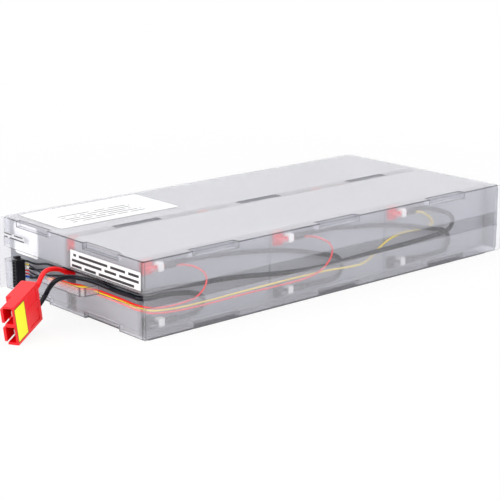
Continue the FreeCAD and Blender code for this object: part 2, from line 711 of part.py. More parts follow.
positive_lead = plus_start("rear", 2)
positive_lead += spots(
    "rear", 2,
    ((68, 8.4, 21.0), (84.5, 11.0, 14.8), (90, POSITIVE_OUT, 8.8), (89.5, POSITIVE_OUT, 2.4),
     (84, POSITIVE_OUT, -2.0), (72, POSITIVE_OUT, -4.0), (50, POSITIVE_OUT, -4.6), (10, POSITIVE_OUT, -3.6)),
)
positive_lead += spots(
    "rear", 1, ((104, POSITIVE_OUT, -4.8), (50, POSITIVE_OUT, -3.4), (-4, POSITIVE_OUT, -4.8))
)
positive_lead += spots("rear", 0, ((94, POSITIVE_OUT, -3.2), (56, POSITIVE_OUT, -1.6), (30, POSITIVE_OUT, 0.2)))
POSITIVE_EXIT = spot("rear", 0, 4, POSITIVE_OUT, 0.9)
tube("positive_lead", positive_lead + [POSITIVE_EXIT + FreeCAD.Vector(11, 0, 0), POSITIVE_EXIT], v.cable_size)


# Power plug on the free ends of the two leads: a flat two-pole housing with hooded, tongued fronts

PLUG_TURN = FreeCAD.Rotation(FreeCAD.Vector(0, 0, 1), v.plug_turn).multiply(
    FreeCAD.Rotation(FreeCAD.Vector(0, 1, 0), -v.plug_lift)
)
PLUG_PLACE = FreeCAD.Placement(FreeCAD.Vector(END_X - v.plug_off, -v.plug_side, 0), PLUG_TURN)
POLE_HEIGHT = (v.plug_height - 2 * v.plug_wall - v.plug_partition) / 2
POLE_MIDDLES = (v.plug_wall + POLE_HEIGHT / 2, v.plug_height - v.plug_wall - POLE_HEIGHT / 2)
CONTACT_Y = v.plug_wall + 2.2


def plug_housing():
    body = new_body("power_plug_housing")
    pole = "(Sizes.plug_height - 2 * Sizes.plug_wall - Sizes.plug_partition) / 2"
    middles = (f"Sizes.plug_wall + {pole} / 2", f"Sizes.plug_height - Sizes.plug_wall - {pole} / 2")
    rear = sketch_on(body, "plug_rear", "YZ_Plane", "Sizes.hood_length")
    rectangle(rear, "rear", "0", "Sizes.plug_width", "0", "Sizes.plug_height")
    block = extrude(body, "Pad", "plug_rear_block", rear, "Sizes.plug_length - Sizes.hood_length")
    block = dress(
        body, "Fillet", "plug_rear_edges", block, "Sizes.tray_edge",
        lambda box: box.XLength > 20 and near(box.YMin, v.plug_width) or near(box.XMin, v.plug_length),
    )
    hood = sketch_on(body, "plug_hood", "YZ_Plane")
    rectangle(hood, "hood", "0", "Sizes.hood_width", "0", "Sizes.plug_height")
    extrude(body, "Pad", "plug_hood_block", hood, "Sizes.hood_length + 1")
    poles = sketch_on(body, "plug_poles", "YZ_Plane")
    for index, middle in enumerate(middles):
        rectangle(
            poles, f"pole_{index}", "Sizes.plug_wall", "Sizes.hood_width + 1",
            f"{middle} - {pole} / 2", f"{middle} + {pole} / 2",
        )
    extrude(body, "Pocket", "plug_pole_mouths", poles, "Sizes.hood_length", reverse=True)
    throats = sketch_on(body, "plug_throats", "YZ_Plane", "Sizes.hood_length - 1")
    for index, middle in enumerate(middles):
        rectangle(
            throats, f"throat_{index}", "Sizes.plug_wall", "Sizes.hood_width - Sizes.tongue_gap",
            f"{middle} - Sizes.pole_throat / 2", f"{middle} + Sizes.pole_throat / 2",
        )
    extrude(
        body, "Pocket", "plug_inner_poles", throats, "Sizes.pole_reach - Sizes.hood_length + 1", reverse=True
    )
    tongues = sketch_on(body, "plug_tongues", "YZ_Plane")
    inner = "Sizes.hood_width + Sizes.tongue_gap"
    for index, middle in enumerate(middles):
        rectangle(
            tongues, f"tongue_{index}", inner, f"{inner} + Sizes.tongue_width",
            f"{middle} - Sizes.tongue_height / 2", f"{middle} + Sizes.tongue_height / 2",
        )
    extrude(body, "Pad", "plug_tongue_plates", tongues, "Sizes.hood_length + 1")
    bores = sketch_on(body, "plug_bores", "YZ_Plane", "Sizes.plug_length")
    for index, middle in enumerate(middles):
        circle(bores, f"bore_{index}", "Sizes.hood_width / 2", middle, "Sizes.cable_size + 2 * Sizes.bore_play")
    extrude(body, "Pocket", "plug_cable_bores", bores, "Sizes.bore_depth")
    grips = sketch_on(body, "plug_grips", "XZ_Plane")
    for index, middle in enumerate(middles):
        rectangle(
            grips, f"grip_{index}", "Sizes.hood_length + 6", "Sizes.plug_length - 5",
            f"{middle} - {pole} / 2 + 1", f"{middle} + {pole} / 2 - 1",
        )
    extrude(body, "Pocket", "plug_grip_hollows", grips, "0.8")
    body.Placement = PLUG_PLACE
    return body


def plug_point(along, across, height):
    return PLUG_PLACE.multVec(FreeCAD.Vector(along, across, height))


plug_housing()
contacts = []
for number, height in enumerate(POLE_MIDDLES, 1):
    contact = box_at(
        f"plug_contact_{number}", plug_point(5, CONTACT_Y, height - v.contact_height / 2),
        "Sizes.pole_reach - 5", "Sizes.contact_sheet", "Sizes.contact_height",
    )
    contact.Placement.Rotation = PLUG_TURN
    contacts.append(contact)
group("power_plug_contacts", contacts)


def outside(off, across, height):
    """A point outside the end wall, off from it, across from the middle and over the floor."""
    return FreeCAD.Vector(END_X - off, across, height)


def into_plug(pole, approach):
    """The last two points of a tail, on the axis of its bore."""
    seat = v.plug_length - v.bore_depth
    return [plug_point(seat + step, v.hood_width / 2, POLE_MIDDLES[pole]) for step in (approach, 0)]


positive_tail = [POSITIVE_EXIT, POSITIVE_EXIT - FreeCAD.Vector(8.5, 0, 0)]
positive_tail += [
    outside(6.8, -0.4, 41.6), outside(17.8, -3.2, 45.6), outside(29.2, -6.6, 46.2), outside(38.2, -13.5, 43.0),
]
tube("positive_lead_tail", positive_tail + into_plug(1, 9), v.cable_size)
negative_tail = [NEGATIVE_EXIT, NEGATIVE_EXIT + FreeCAD.Vector(0, 8, 0)]
negative_tail += [
    outside(1.8, -46.0, 38.9), outside(8.6, -32.0, 41.2), outside(17.6, -22.6, 42.2),
    outside(25.2, -17.4, 39.4), outside(29.8, -14.0, 33.2), outside(33.4, -12.6, 26.0),
]
tube("negative_lead_tail", negative_tail + into_plug(0, 9), v.cable_size)

sticker = new_body("power_plug_sticker")
face = sketch_on(sticker, "sticker_face", "XZ_Plane")
rectangle(face, "face", "0.4", "Sizes.hood_length + 1.5", "2.4", "Sizes.plug_height - 2.8")
extrude(sticker, "Pad", "sticker_sheet", face, "Sizes.label_sheet")
sticker.Placement = PLUG_PLACE


# Sense plug: one upright row of poles with a latch on its upper end

SENSE_X = END_X - v.sense_off


def sense_plug():
    body = new_body("sense_plug_housing")
    front = sketch_on(body, "sense_front", "YZ_Plane")
    half = "Sizes.sense_width / 2"
    rectangle(front, "front", f"-{half}", half, "0", "Sizes.sense_height")
    extrude(body, "Pad", "sense_block", front, "Sizes.sense_length")
    holes = sketch_on(body, "sense_holes", "YZ_Plane")
    for pole in range(SENSE_POLES):
        middle = f"Sizes.sense_height / 2 + {pole - (SENSE_POLES - 1) / 2} * Sizes.sense_pitch"
        rectangle(
            holes, f"hole_{pole}", "-Sizes.sense_hole_wide / 2", "Sizes.sense_hole_wide / 2",
            f"{middle} - Sizes.sense_hole_high / 2", f"{middle} + Sizes.sense_hole_high / 2",
        )
    extrude(body, "Pocket", "sense_pole_holes", holes, "Sizes.sense_hole_deep", reverse=True)
    latch = sketch_on(body, "sense_latch", "XZ_Plane", f"1 - {half}")
    rectangle(latch, "arm", "0.6", "6.4", "Sizes.sense_height + 1.6", "Sizes.sense_height + 3.6")
    extrude(body, "Pad", "sense_latch_arm", latch, "Sizes.sense_width - 2")
    foot = sketch_on(body, "sense_latch_foot", "XZ_Plane", f"1 - {half}")
    rectangle(foot, "foot", "4.4", "6.4", "Sizes.sense_height - 0.5", "Sizes.sense_height + 2")
    extrude(body, "Pad", "sense_latch_post", foot, "Sizes.sense_width - 2")
    at(body, SENSE_X, v.sense_side, v.sense_up)
    return body


sense_plug()
pins = []
for pole in range(SENSE_POLES):
    middle = v.sense_up + v.sense_height / 2 + (pole - (SENSE_POLES - 1) / 2) * v.sense_pitch
    pins.append(
        box_at(
            f"sense_pin_{pole + 1}",
            FreeCAD.Vector(SENSE_X + v.sense_hole_deep - 3.5, v.sense_side - 0.9, middle - 0.5),
            "3.5", "1.8", "1",
        )
    )
group("sense_plug_contacts", pins)


# Sense wires, from one cell joint each to the back of the sense plug

SHELF_Z = TRAY_DEPTH + v.sense_size / 2 + 0.15
WIRE_GAP_X = END_X + v.tray_sheet + 1.1
PLUG_BACK = SENSE_X + v.sense_length


def wire_start(row, cell):
    """A sense wire leaves the sleeve of a positive terminal under the power cable."""
    return spots(row, cell, ((CABLE_START, AXIS, POLE + WIRE_UP), (CABLE_START + 8, AXIS, POLE + WIRE_UP)))


def into_sense_plug(pole, lane):
    """The last points of a sense wire, to a pole of the plug counted from its highest. lane is how far from
    the end wall the wire comes in."""
    height = v.sense_up + v.sense_height / 2 + ((SENSE_POLES + 1) / 2 - pole) * v.sense_pitch
    return [
        outside(lane, v.sense_side - 9.5, height + 0.1),
        FreeCAD.Vector(PLUG_BACK + 3.7, v.sense_side - 3.5, height),
        FreeCAD.Vector(PLUG_BACK + 2.9, v.sense_side, height),
        FreeCAD.Vector(PLUG_BACK, v.sense_side, height),
    ]


def along_the_end(channel_out, height, gap_z, crossing, lane):
    """A front wire turns at the near corner, runs along the end gap, crosses the lower tray's rim and lies on
    the shelf."""
    return [
        FreeCAD.Vector(WIRE_GAP_X + 9.0, COVER_Y["front"] - channel_out, height),
        FreeCAD.Vector(WIRE_GAP_X, COVER_Y["front"] - 4.0, gap_z - 0.9),
        FreeCAD.Vector(WIRE_GAP_X, COVER_Y["front"] + 22, gap_z),
        FreeCAD.Vector(WIRE_GAP_X, crossing - 18, gap_z + 0.1),
        FreeCAD.Vector(WIRE_GAP_X, crossing - 9, max(gap_z, SHELF_Z) + 0.4),
        outside(0.4, crossing, SHELF_Z + 0.8),
        outside(lane - 0.8, crossing + 8, SHELF_Z),
        outside(lane, crossing + 22, SHELF_Z + 0.1),
    ]


red_1 = wire_start("front", 0)
red_1 += spots(
    "front", 0,
    ((55, 9.4, 19.6), (63, WIRE_OUT, 13.4), (66, WIRE_OUT, 6.0), (62, WIRE_OUT, -2.2), (53, WIRE_OUT, -8.0),
     (38, WIRE_OUT, -9.6), (22, WIRE_OUT, -9.8)),
)
red_1 += along_the_end(WIRE_OUT, 27.0, 30.2, -34, 7.3)
red_1 += [outside(9.2, 22, 29.6), outside(8.4, 33, 26.4), outside(6.2, 48, 23.9)]
tube("sense_wire_front_1", red_1 + into_sense_plug(5, 3.3), v.sense_size)

red_2 = wire_start("front", 1)
red_2 += spots(
    "front", 1,
    ((54, 9.4, 19.8), (63, WIRE_OUT, 14.4), (67.8, WIRE_OUT, 7.6), (66.4, WIRE_OUT, 0.2), (60, WIRE_OUT, -7.0),
     (48, WIRE_OUT, -12.8), (30, WIRE_OUT, -15.4), (0, WIRE_OUT, -15.6)),
)
red_2 += spots("front", 0, ((112, WIRE_OUT, -15.3), (64, WIRE_OUT, -16.2), (32, WIRE_OUT, -15.8)))
red_2 += along_the_end(WIRE_OUT, 22.2, 26.2, -16, 2.9)
red_2 += [outside(5.7, 22, 29.6), outside(5.8, 33, 27.4), outside(4.9, 48, 26.6)]
tube("sense_wire_front_2", red_2 + into_sense_plug(4, 3.0), v.sense_size)

yellow = wire_start("front", 2)
yellow += spots(
    "front", 2,
    ((55, 2.6, 18.4), (64.5, 1.7, 12.4), (68.8, 1.7, 6.4), (62, 1.7, 2.6), (46, 1.7, 2.2), (23, 1.7, 3.2),
     (4, 1.7, -0.4), (-12, 2.2, -8.2), (-25, 4.6, -14.4), (-41, 9.0, -16.4), (-60, YELLOW_OUT, -15.0)),
)
yellow += spots("front", 1, ((64, YELLOW_OUT, -13.2), (28, YELLOW_OUT, -12.7), (-8, YELLOW_OUT, -12.9)))
yellow += spots("front", 0, ((104, YELLOW_OUT, -13.4), (62, YELLOW_OUT, -14.2), (30, 12.0, -13.4)))
yellow += along_the_end(WIRE_OUT, 24.6, 28.2, -25, 5.1)
yellow += [outside(7.5, 20, 29.7), outside(7.2, 33, 31.6), outside(5.4, 48, 32.8)]
tube("sense_wire_front_3", yellow + into_sense_plug(2, 3.2), v.sense_size)


def out_of_the_middle(heights):
    """A rear wire comes out of the end gap and runs beside the end wall towards the sense plug."""
    places = ((-2.6, 11.3), (2.0, 16.5), (2.8, 30.0), (2.7, 46.0))
    return [outside(off, across, height) for (off, across), height in zip(places, heights)]


black_1 = wire_start("rear", 0)
black_1 += spots(
    "rear", 0,
    ((54, 2.6, 18.6), (61, REAR_WIRE_OUT, 11.6), (57, REAR_WIRE_OUT, 5.2), (43, REAR_WIRE_OUT, 3.4),
     (24, REAR_WIRE_OUT, 3.8)),
)
black_1 += out_of_the_middle((38.8, 39.7, 40.6, 36.6))
tube("sense_wire_rear_1", black_1 + into_sense_plug(1, 2.2), v.sense_size)

black_2 = wire_start("rear", 1)
black_2 += spots(
    "rear", 1,
    ((54, 2.6, 18.0), (60, REAR_WIRE_OUT, 10.4), (55, REAR_WIRE_OUT, 4.0), (40, REAR_WIRE_OUT, 1.4),
     (10, REAR_WIRE_OUT, 0.7), (-34, REAR_WIRE_OUT, 1.2)),
)
black_2 += spots("rear", 0, ((66, REAR_WIRE_OUT, 0.8), (26, REAR_WIRE_OUT, 1.0)))
black_2 += out_of_the_middle((36.2, 37.0, 35.2, 31.0))
tube("sense_wire_rear_2", black_2 + into_sense_plug(3, 2.2), v.sense_size)

black_3 = wire_start("rear", 2)
black_3 += spots(
    "rear", 2,
    ((54, 2.6, 18.0), (60, REAR_WIRE_OUT, 10.0), (55, REAR_WIRE_OUT, 3.2), (40, REAR_WIRE_OUT, -1.0),
     (10, REAR_WIRE_OUT, -2.8), (-40, REAR_WIRE_OUT, -3.3)),
)
black_3 += spots("rear", 1, ((54, REAR_WIRE_OUT, -2.9), (-2, REAR_WIRE_OUT, -3.5)))
black_3 += spots("rear", 0, ((94, REAR_WIRE_OUT, -2.8), (48, REAR_WIRE_OUT, -3.3), (20, REAR_WIRE_OUT, -3.0)))
black_3 += out_of_the_middle((32.0, 31.8, 29.2, 24.4))
tube("sense_wire_rear_3", black_3 + into_sense_plug(6, 2.2), v.sense_size)


# Labels, each a thin sheet with round corners

def label_sheet(label, length, width, corner):
    """A bare label, flat on the XY plane with its middle at the origin."""
    body = new_body(label)
    outline = sketch_on(body, f"{label}_outline", "XY_Plane")
    rectangle(outline, "outline", f"-{length} / 2", f"{length} / 2", f"-{width} / 2", f"{width} / 2")
    block = extrude(body, "Pad", f"{label}_sheet", outline, "Sizes.label_sheet")
    edges = [f"Edge{n}" for n, e in enumerate(block.Shape.Edges, 1) if e.BoundBox.ZLength > 0.1]
    rounding = body.newObject("PartDesign::Fillet", f"{label}_corners")
    rounding.Base = (block, edges)
    rounding.Radius = corner
    DOC.recompute()
    return body


def on_end_wall(label, across, height):
    """Turns a label to face the lead end, leaning with the upper tray's wall."""
    rise = height - PACK_HEIGHT + TRAY_DEPTH
    place = FreeCAD.Vector(END_X + rise * math.tan(math.radians(v.draft_angle)), across, height)
    facing = FreeCAD.Rotation(
        FreeCAD.Vector(0, -1, 0), FreeCAD.Vector(0, 0, 1), FreeCAD.Vector(-1, 0, 0), "XYZ"
    )
    lean = FreeCAD.Rotation(FreeCAD.Vector(0, 1, 0), v.draft_angle)
    label.Placement = FreeCAD.Placement(place, lean.multiply(facing))


top_label = label_sheet("top_label", 138.0, 72.0, 4.0)
at(top_label, END_X + 83.8, COVER_Y["rear"] + 54.5, PACK_HEIGHT)
on_end_wall(label_sheet("side_label", 104.0, 16.0, 0.8), FRONT_Y + 55.0, PACK_HEIGHT - TRAY_DEPTH + 10.6)
on_end_wall(label_sheet("corner_label", 36.0, 5.0, 0.8), COVER_Y["rear"] + 77.0, PACK_HEIGHT - 16.5)
battery_label = label_sheet("battery_label", 40.0, 30.0, 4.0)
battery_label.Placement = FreeCAD.Placement(
    FreeCAD.Vector(cell_start(0), COVER_Y["rear"] + 65, MIDDLE_Z + 16.5),
    FreeCAD.Rotation(FreeCAD.Vector(0, -1, 0), FreeCAD.Vector(0, 0, 1), FreeCAD.Vector(-1, 0, 0), "XYZ"),
)


# Checks and files

DOC.recompute()
for item in DOC.Objects:
    if {"Invalid", "Error"} & set(item.State):
        raise RuntimeError(f"{item.Label} failed")
os.makedirs("parts", exist_ok=True)
triangles = 0
for piece in PIECES:
    if piece.Shape.isNull() or not piece.Shape.isValid():
        raise RuntimeError(f"{piece.Label} has no valid shape")
    piece.Shape.exportStep(f"parts/{piece.Label}.step")
    triangles += len(piece.Shape.tessellate(0.1)[1])
print(f"{len(PIECES)} pieces, {triangles} triangles")
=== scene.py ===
# %% [markdown]
# # A battery cartridge in frosted trays
#
# The real thing is a flat pack of six sealed batteries for a rack power supply. Two thin frosted trays hold
# them from below and above, and everything else is seen through that sheet or in the open gap between the
# trays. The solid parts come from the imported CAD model. This script gives them their finishes, adds the
# parts that a solid modeller does badly, and sets up a plain studio around them.

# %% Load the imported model
import math

import bmesh
import bpy
from mathutils import Matrix, Vector


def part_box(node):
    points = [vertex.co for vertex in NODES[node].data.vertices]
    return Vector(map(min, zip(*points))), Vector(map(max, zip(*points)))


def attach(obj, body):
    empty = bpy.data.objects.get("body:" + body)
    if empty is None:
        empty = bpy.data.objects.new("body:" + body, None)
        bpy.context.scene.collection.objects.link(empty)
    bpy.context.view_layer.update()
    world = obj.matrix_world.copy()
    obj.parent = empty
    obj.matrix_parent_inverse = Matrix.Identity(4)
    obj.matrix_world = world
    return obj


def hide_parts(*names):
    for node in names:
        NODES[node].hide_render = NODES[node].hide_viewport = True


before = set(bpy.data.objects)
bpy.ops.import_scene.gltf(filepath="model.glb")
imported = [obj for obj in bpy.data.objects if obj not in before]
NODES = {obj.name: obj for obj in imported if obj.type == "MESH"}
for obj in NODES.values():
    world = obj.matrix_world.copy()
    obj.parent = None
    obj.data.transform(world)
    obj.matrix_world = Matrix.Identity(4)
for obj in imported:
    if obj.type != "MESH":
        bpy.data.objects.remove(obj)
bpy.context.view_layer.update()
MM = 0.001

# %% [markdown]
# ## The camera
#
# A product photograph is best matched before anything is coloured. The place, turn and lens below came
# from fitting a camera to the corners of the trays, whose size follows from the batteries inside. The lens
# is long, so the far end hardly shrinks.

# %% Camera
CAMERA_PLACE = (-0.9397, -1.0621, 0.3940)
CAMERA_YAW = 41.2166
CAMERA_PITCH = 14.7956
CAMERA_LENS = 105.58
SENSOR_WIDTH = 36.0
CLIP_START = 0.05

camera_data = bpy.data.cameras.new("camera")
camera_data.lens = CAMERA_LENS
camera_data.sensor_width = SENSOR_WIDTH
camera_data.clip_start = CLIP_START
camera = bpy.data.objects.new("camera", camera_data)
camera.location = CAMERA_PLACE
camera.rotation_euler = (math.radians(90 - CAMERA_PITCH), 0, math.radians(-CAMERA_YAW))
bpy.context.scene.collection.objects.link(camera)
bpy.context.scene.camera = camera
print("camera at", CAMERA_PLACE, "with a lens of", CAMERA_LENS, "mm")

# %% [markdown]
# ## The two free leads
#
# Two thick leads leave the trays at the end and share one plug. A cable is a length of something springy,
# so its line has no corners. A NURBS spline whose control points are the corners of the route gives such a
# line, and a round bevel gives it its body. Mesh tubes would also do, but a curve can be changed by moving
# a point. Blender counts a point's radius in the curve's box, so the points carry the cable's radius and
# the bevel is 1. The places are those of the solid model, in millimetres.

# %% A lead as a spline
CABLE_SIZE = 4.4 * MM
CABLE_STEPS = 14
CABLE_ROUNDNESS = 6
END_X = -226.25


def off_end(off, across, height):
    """A point off from the trays' end wall, across from the middle and over the floor, in metres."""
    return Vector((END_X - off, across, height)) * MM


def lead(name, points, size):
    """A round cable whose line is a smooth spline with these control points."""
    data = bpy.data.curves.new(name, "CURVE")
    data.dimensions = "3D"
    spline = data.splines.new("NURBS")
    spline.points.add(len(points) - 1)
    for point, place in zip(spline.points, points):
        point.co = (*place, 1.0)
        point.radius = size / 2
    spline.order_u = 3
    spline.use_endpoint_u = True
    spline.resolution_u = CABLE_STEPS
    data.bevel_depth = 1.0
    data.bevel_resolution = CABLE_ROUNDNESS
    data.use_fill_caps = True
    piece = bpy.data.objects.new(name, data)
    bpy.context.scene.collection.objects.link(piece)
    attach(piece, "root")
    return piece


PLUG_MOUTH = off_end(85.2, -49.3, 0)
PLUG_TURN = math.radians(30.4)
PLUG_TILT = math.radians(-12.1)
PLUG_PLACE = Matrix.Translation(PLUG_MOUTH) @ (
    Matrix.Rotation(PLUG_TURN, 4, "Z") @ Matrix.Rotation(PLUG_TILT, 4, "Y")
)


def on_plug(along, across, height):
    """A point of the power plug: along from its mouth, across its thickness and up, in metres."""
    return PLUG_PLACE @ (Vector((along, across, height)) * MM)


# %% [markdown]
# ### Their routes
#
# Each lead starts inside the trays, rises over the shelf and runs straight into its pole of the plug. The
# last two points lie on the pole's own line, so that the cable enters it without a kink.

# %% The two leads
LOWER_POLE = 9.875
UPPER_POLE = 26.625
POLE_MIDDLE = 5.0
PLUG_SEAT = 43.5
BEFORE_PLUG = PLUG_SEAT + 9.0

red_points = [
    off_end(-10.0, 1.1, 35.9), off_end(-1.5, 1.1, 35.9), off_end(6.8, -0.4, 41.6),
    off_end(17.8, -3.2, 45.6), off_end(29.2, -6.6, 46.2), off_end(38.2, -13.5, 43.0),
    on_plug(BEFORE_PLUG, POLE_MIDDLE, UPPER_POLE), on_plug(PLUG_SEAT, POLE_MIDDLE, UPPER_POLE),
]
black_points = [
    off_end(-3.5, -70.5, 35.0), off_end(-3.5, -62.5, 35.0), off_end(1.8, -46.0, 38.9),
    off_end(8.6, -32.0, 41.2), off_end(17.6, -22.6, 42.2), off_end(25.2, -17.4, 39.4),
    off_end(29.8, -14.0, 33.2), off_end(33.4, -12.6, 26.0),
    on_plug(BEFORE_PLUG, POLE_MIDDLE, LOWER_POLE), on_plug(PLUG_SEAT, POLE_MIDDLE, LOWER_POLE),
]
red_lead = lead("red_lead", red_points, CABLE_SIZE)
black_lead = lead("black_lead", black_points, CABLE_SIZE)
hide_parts("positive_lead_tail")
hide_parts("negative_lead_tail")
print("leads:", {"red_lead": len(red_points), "black_lead": len(black_points)}, "points")

# %% [markdown]
# ## Finishes
#
# Most surfaces here are plain moulded or extruded plastic. What tells them from a flat colour is small: a
# fine grain that breaks up the highlight, a tone that shifts a little over the surface, and edges that
# catch the light because no moulded edge is sharp, through a rounded normal and a highlight painted into
# the colour. Each of these is a node group, made once and used in many materials with its own values.
# Three small helpers keep the node code short.

# %% Node helpers
def new_group(name, inputs, outputs):
    """A node group with named float or vector sockets, and its two end nodes."""
    group = bpy.data.node_groups.new(name, "ShaderNodeTree")
    for label, kind, value in inputs:
        socket = group.interface.new_socket(label, in_out="INPUT", socket_type=kind)
        if value is not None:
            socket.default_value = value
    for label, kind in outputs:
        group.interface.new_socket(label, in_out="OUTPUT", socket_type=kind)
    return group, group.nodes.new("NodeGroupInput"), group.nodes.new("NodeGroupOutput")


def math_node(tree, operation, *values, clamp=False):
    """A Math node whose inputs are numbers or sockets."""
    node = tree.nodes.new("ShaderNodeMath")
    node.operation = operation
    node.use_clamp = clamp
    for socket, value in zip(node.inputs, values):
        if isinstance(value, (int, float)):
            socket.default_value = value
        else:
            tree.links.new(value, socket)
    return node.outputs[0]


def mix_colour(tree, factor, first, second):
    """A colour mix whose inputs are colours or sockets."""
    node = tree.nodes.new("ShaderNodeMix")
    node.data_type = "RGBA"
    for socket, value in ((node.inputs[0], factor), (node.inputs[6], first), (node.inputs[7], second)):
        if isinstance(value, (int, float, tuple)):
            socket.default_value = value
        else:
            tree.links.new(value, socket)
    return node.outputs[2]


# %% [markdown]
# ### Grain and edges
#
# Grain comes from two noises of very different size on the piece's own coordinates, so it stays with the
# piece. The edge mask compares the true normal with one that a Bevel node has rounded: they differ only
# near an edge.

# %% Grain and edges
NOISE_DETAIL = 3.0
BEVEL_SAMPLES = 6


def make_grain():
    """Fine grain and slow blotches: two noises on the piece's own coordinates."""
    group, start, stop = new_group(
        "surface_grain",
        [("Size", "NodeSocketFloat", 0.002), ("Blotch", "NodeSocketFloat", 0.05)],
        [("Grain", "NodeSocketFloat"), ("Blotches", "NodeSocketFloat")],
    )
    place = group.nodes.new("ShaderNodeTexCoord")
    for label, output in (("Size", "Grain"), ("Blotch", "Blotches")):
        noise = group.nodes.new("ShaderNodeTexNoise")
        noise.inputs["Detail"].default_value = NOISE_DETAIL
        group.links.new(place.outputs["Object"], noise.inputs["Vector"])
        group.links.new(math_node(group, "DIVIDE", 1.0, start.outputs[label]), noise.inputs["Scale"])
        group.links.new(noise.outputs["Fac"], stop.inputs[output])
    return group


def make_edge():
    """How near a point is to an edge: the turn between the true normal and one rounded over the radius."""
    group, start, stop = new_group(
        "edge_mask", [("Radius", "NodeSocketFloat", 0.0006), ("Gain", "NodeSocketFloat", 4.0)],
        [("Mask", "NodeSocketFloat"), ("Normal", "NodeSocketVector")],
    )
    bevel = group.nodes.new("ShaderNodeBevel")
    bevel.samples = BEVEL_SAMPLES
    group.links.new(start.outputs["Radius"], bevel.inputs["Radius"])
    shape = group.nodes.new("ShaderNodeNewGeometry")
    dot = group.nodes.new("ShaderNodeVectorMath")
    dot.operation = "DOT_PRODUCT"
    group.links.new(bevel.outputs[0], dot.inputs[0])
    group.links.new(shape.outputs["True Normal"], dot.inputs[1])
    turn = math_node(group, "SUBTRACT", 1.0, dot.outputs["Value"])
    mask = math_node(group, "MULTIPLY", turn, start.outputs["Gain"], clamp=True)
    group.links.new(mask, stop.inputs["Mask"])
    group.links.new(bevel.outputs[0], stop.inputs["Normal"])
    return group


GRAIN = make_grain()
EDGE = make_edge()

# %% [markdown]
# ### Bends
#
# A formed sheet has wide rounded corners, and there its normal lies along none of the three axes. Level
# corners and upright ones take the light differently, so the group tells them apart by the normal's upright
# part.

# %% Bends
UPRIGHT_BELOW = 0.2


def make_bend():
    """Where a formed sheet turns a level corner, and where it turns an upright one."""
    group, start, stop = new_group(
        "bend_mask", [("Flat", "NodeSocketFloat", 0.975), ("Bent", "NodeSocketFloat", 0.88)],
        [("Level", "NodeSocketFloat"), ("Upright", "NodeSocketFloat")],
    )
    place = group.nodes.new("ShaderNodeTexCoord")
    split = group.nodes.new("ShaderNodeSeparateXYZ")
    group.links.new(place.outputs["Normal"], split.inputs[0])
    sizes = [math_node(group, "ABSOLUTE", socket) for socket in split.outputs]
    largest = math_node(group, "MAXIMUM", math_node(group, "MAXIMUM", sizes[0], sizes[1]), sizes[2])
    fade = group.nodes.new("ShaderNodeMapRange")
    group.links.new(largest, fade.inputs["Value"])
    group.links.new(start.outputs["Flat"], fade.inputs["From Min"])
    group.links.new(start.outputs["Bent"], fade.inputs["From Max"])
    upright = math_node(group, "LESS_THAN", sizes[2], UPRIGHT_BELOW)
    group.links.new(math_node(group, "MULTIPLY", fade.outputs["Result"], upright), stop.inputs["Upright"])
    level = math_node(group, "SUBTRACT", 1.0, upright)
    group.links.new(math_node(group, "MULTIPLY", fade.outputs["Result"], level), stop.inputs["Level"])
    return group


BEND = make_bend()

# %% [markdown]
# ### Bars
#
# Rows of plain bars come from plain arithmetic: a row is the part of each pitch below the bar's thickness,
# and a white noise with one value per cell leaves some cells out. No picture is needed.

# %% Bars
GAP_CHANCE = 0.2


def make_rules():
    """Rows of short bars. Along and Across are the label's own axes, and Bar is the shortest one's length."""
    sizes = ("Along", "Across", "Half Along", "Half Across", "Pitch", "Thickness", "Bar")
    group, start, stop = new_group(
        "plain_rules", [(label, "NodeSocketFloat", 0.0) for label in sizes], [("Mask", "NodeSocketFloat")]
    )
    sockets = [start.outputs[label] for label in sizes]
    along, across, half_along, half_across, pitch, thickness, bar = sockets
    row = math_node(group, "DIVIDE", math_node(group, "ADD", across, half_across), pitch)
    filled = math_node(group, "DIVIDE", thickness, pitch)
    ink = math_node(group, "LESS_THAN", math_node(group, "FRACT", row), filled)
    cells = group.nodes.new("ShaderNodeCombineXYZ")
    group.links.new(math_node(group, "FLOOR", math_node(group, "DIVIDE", along, bar)), cells.inputs[0])
    group.links.new(math_node(group, "FLOOR", row), cells.inputs[1])
    chance = group.nodes.new("ShaderNodeTexWhiteNoise")
    chance.noise_dimensions = "2D"
    group.links.new(cells.outputs[0], chance.inputs["Vector"])
    kept = math_node(group, "GREATER_THAN", chance.outputs["Value"], GAP_CHANCE)
    mask = math_node(group, "MULTIPLY", ink, kept)
    for place, half in ((along, half_along), (across, half_across)):
        inside = math_node(group, "LESS_THAN", math_node(group, "ABSOLUTE", place), half)
        mask = math_node(group, "MULTIPLY", mask, inside)
    group.links.new(mask, stop.inputs["Mask"])
    return group


RULES = make_rules()
print("node groups:", [group.name for group in bpy.data.node_groups])

# %% [markdown]
# ## Moulded plastic
#
# One recipe serves the battery cases, the plugs, the terminals and the insulators: a base colour that
# drifts with the blotches, a lighter tone painted along edges as a highlight (a darker one, painted edge
# shade, on paper and the sticker), roughness from the grain, and a shallow bump. The numbers differ,
# because a battery case is spark textured and a plug is nearly smooth.

# %% The recipe
EDGE_SHARE = 0.6
ROUGHNESS_SWING = 0.18
GRAIN_DEPTH = 0.0003


def add_group(tree, group, **values):
    """The group as a node of this tree, with its inputs set."""
    node = tree.nodes.new("ShaderNodeGroup")
    node.node_tree = group
    for label, value in values.items():
        node.inputs[label].default_value = value
    return node


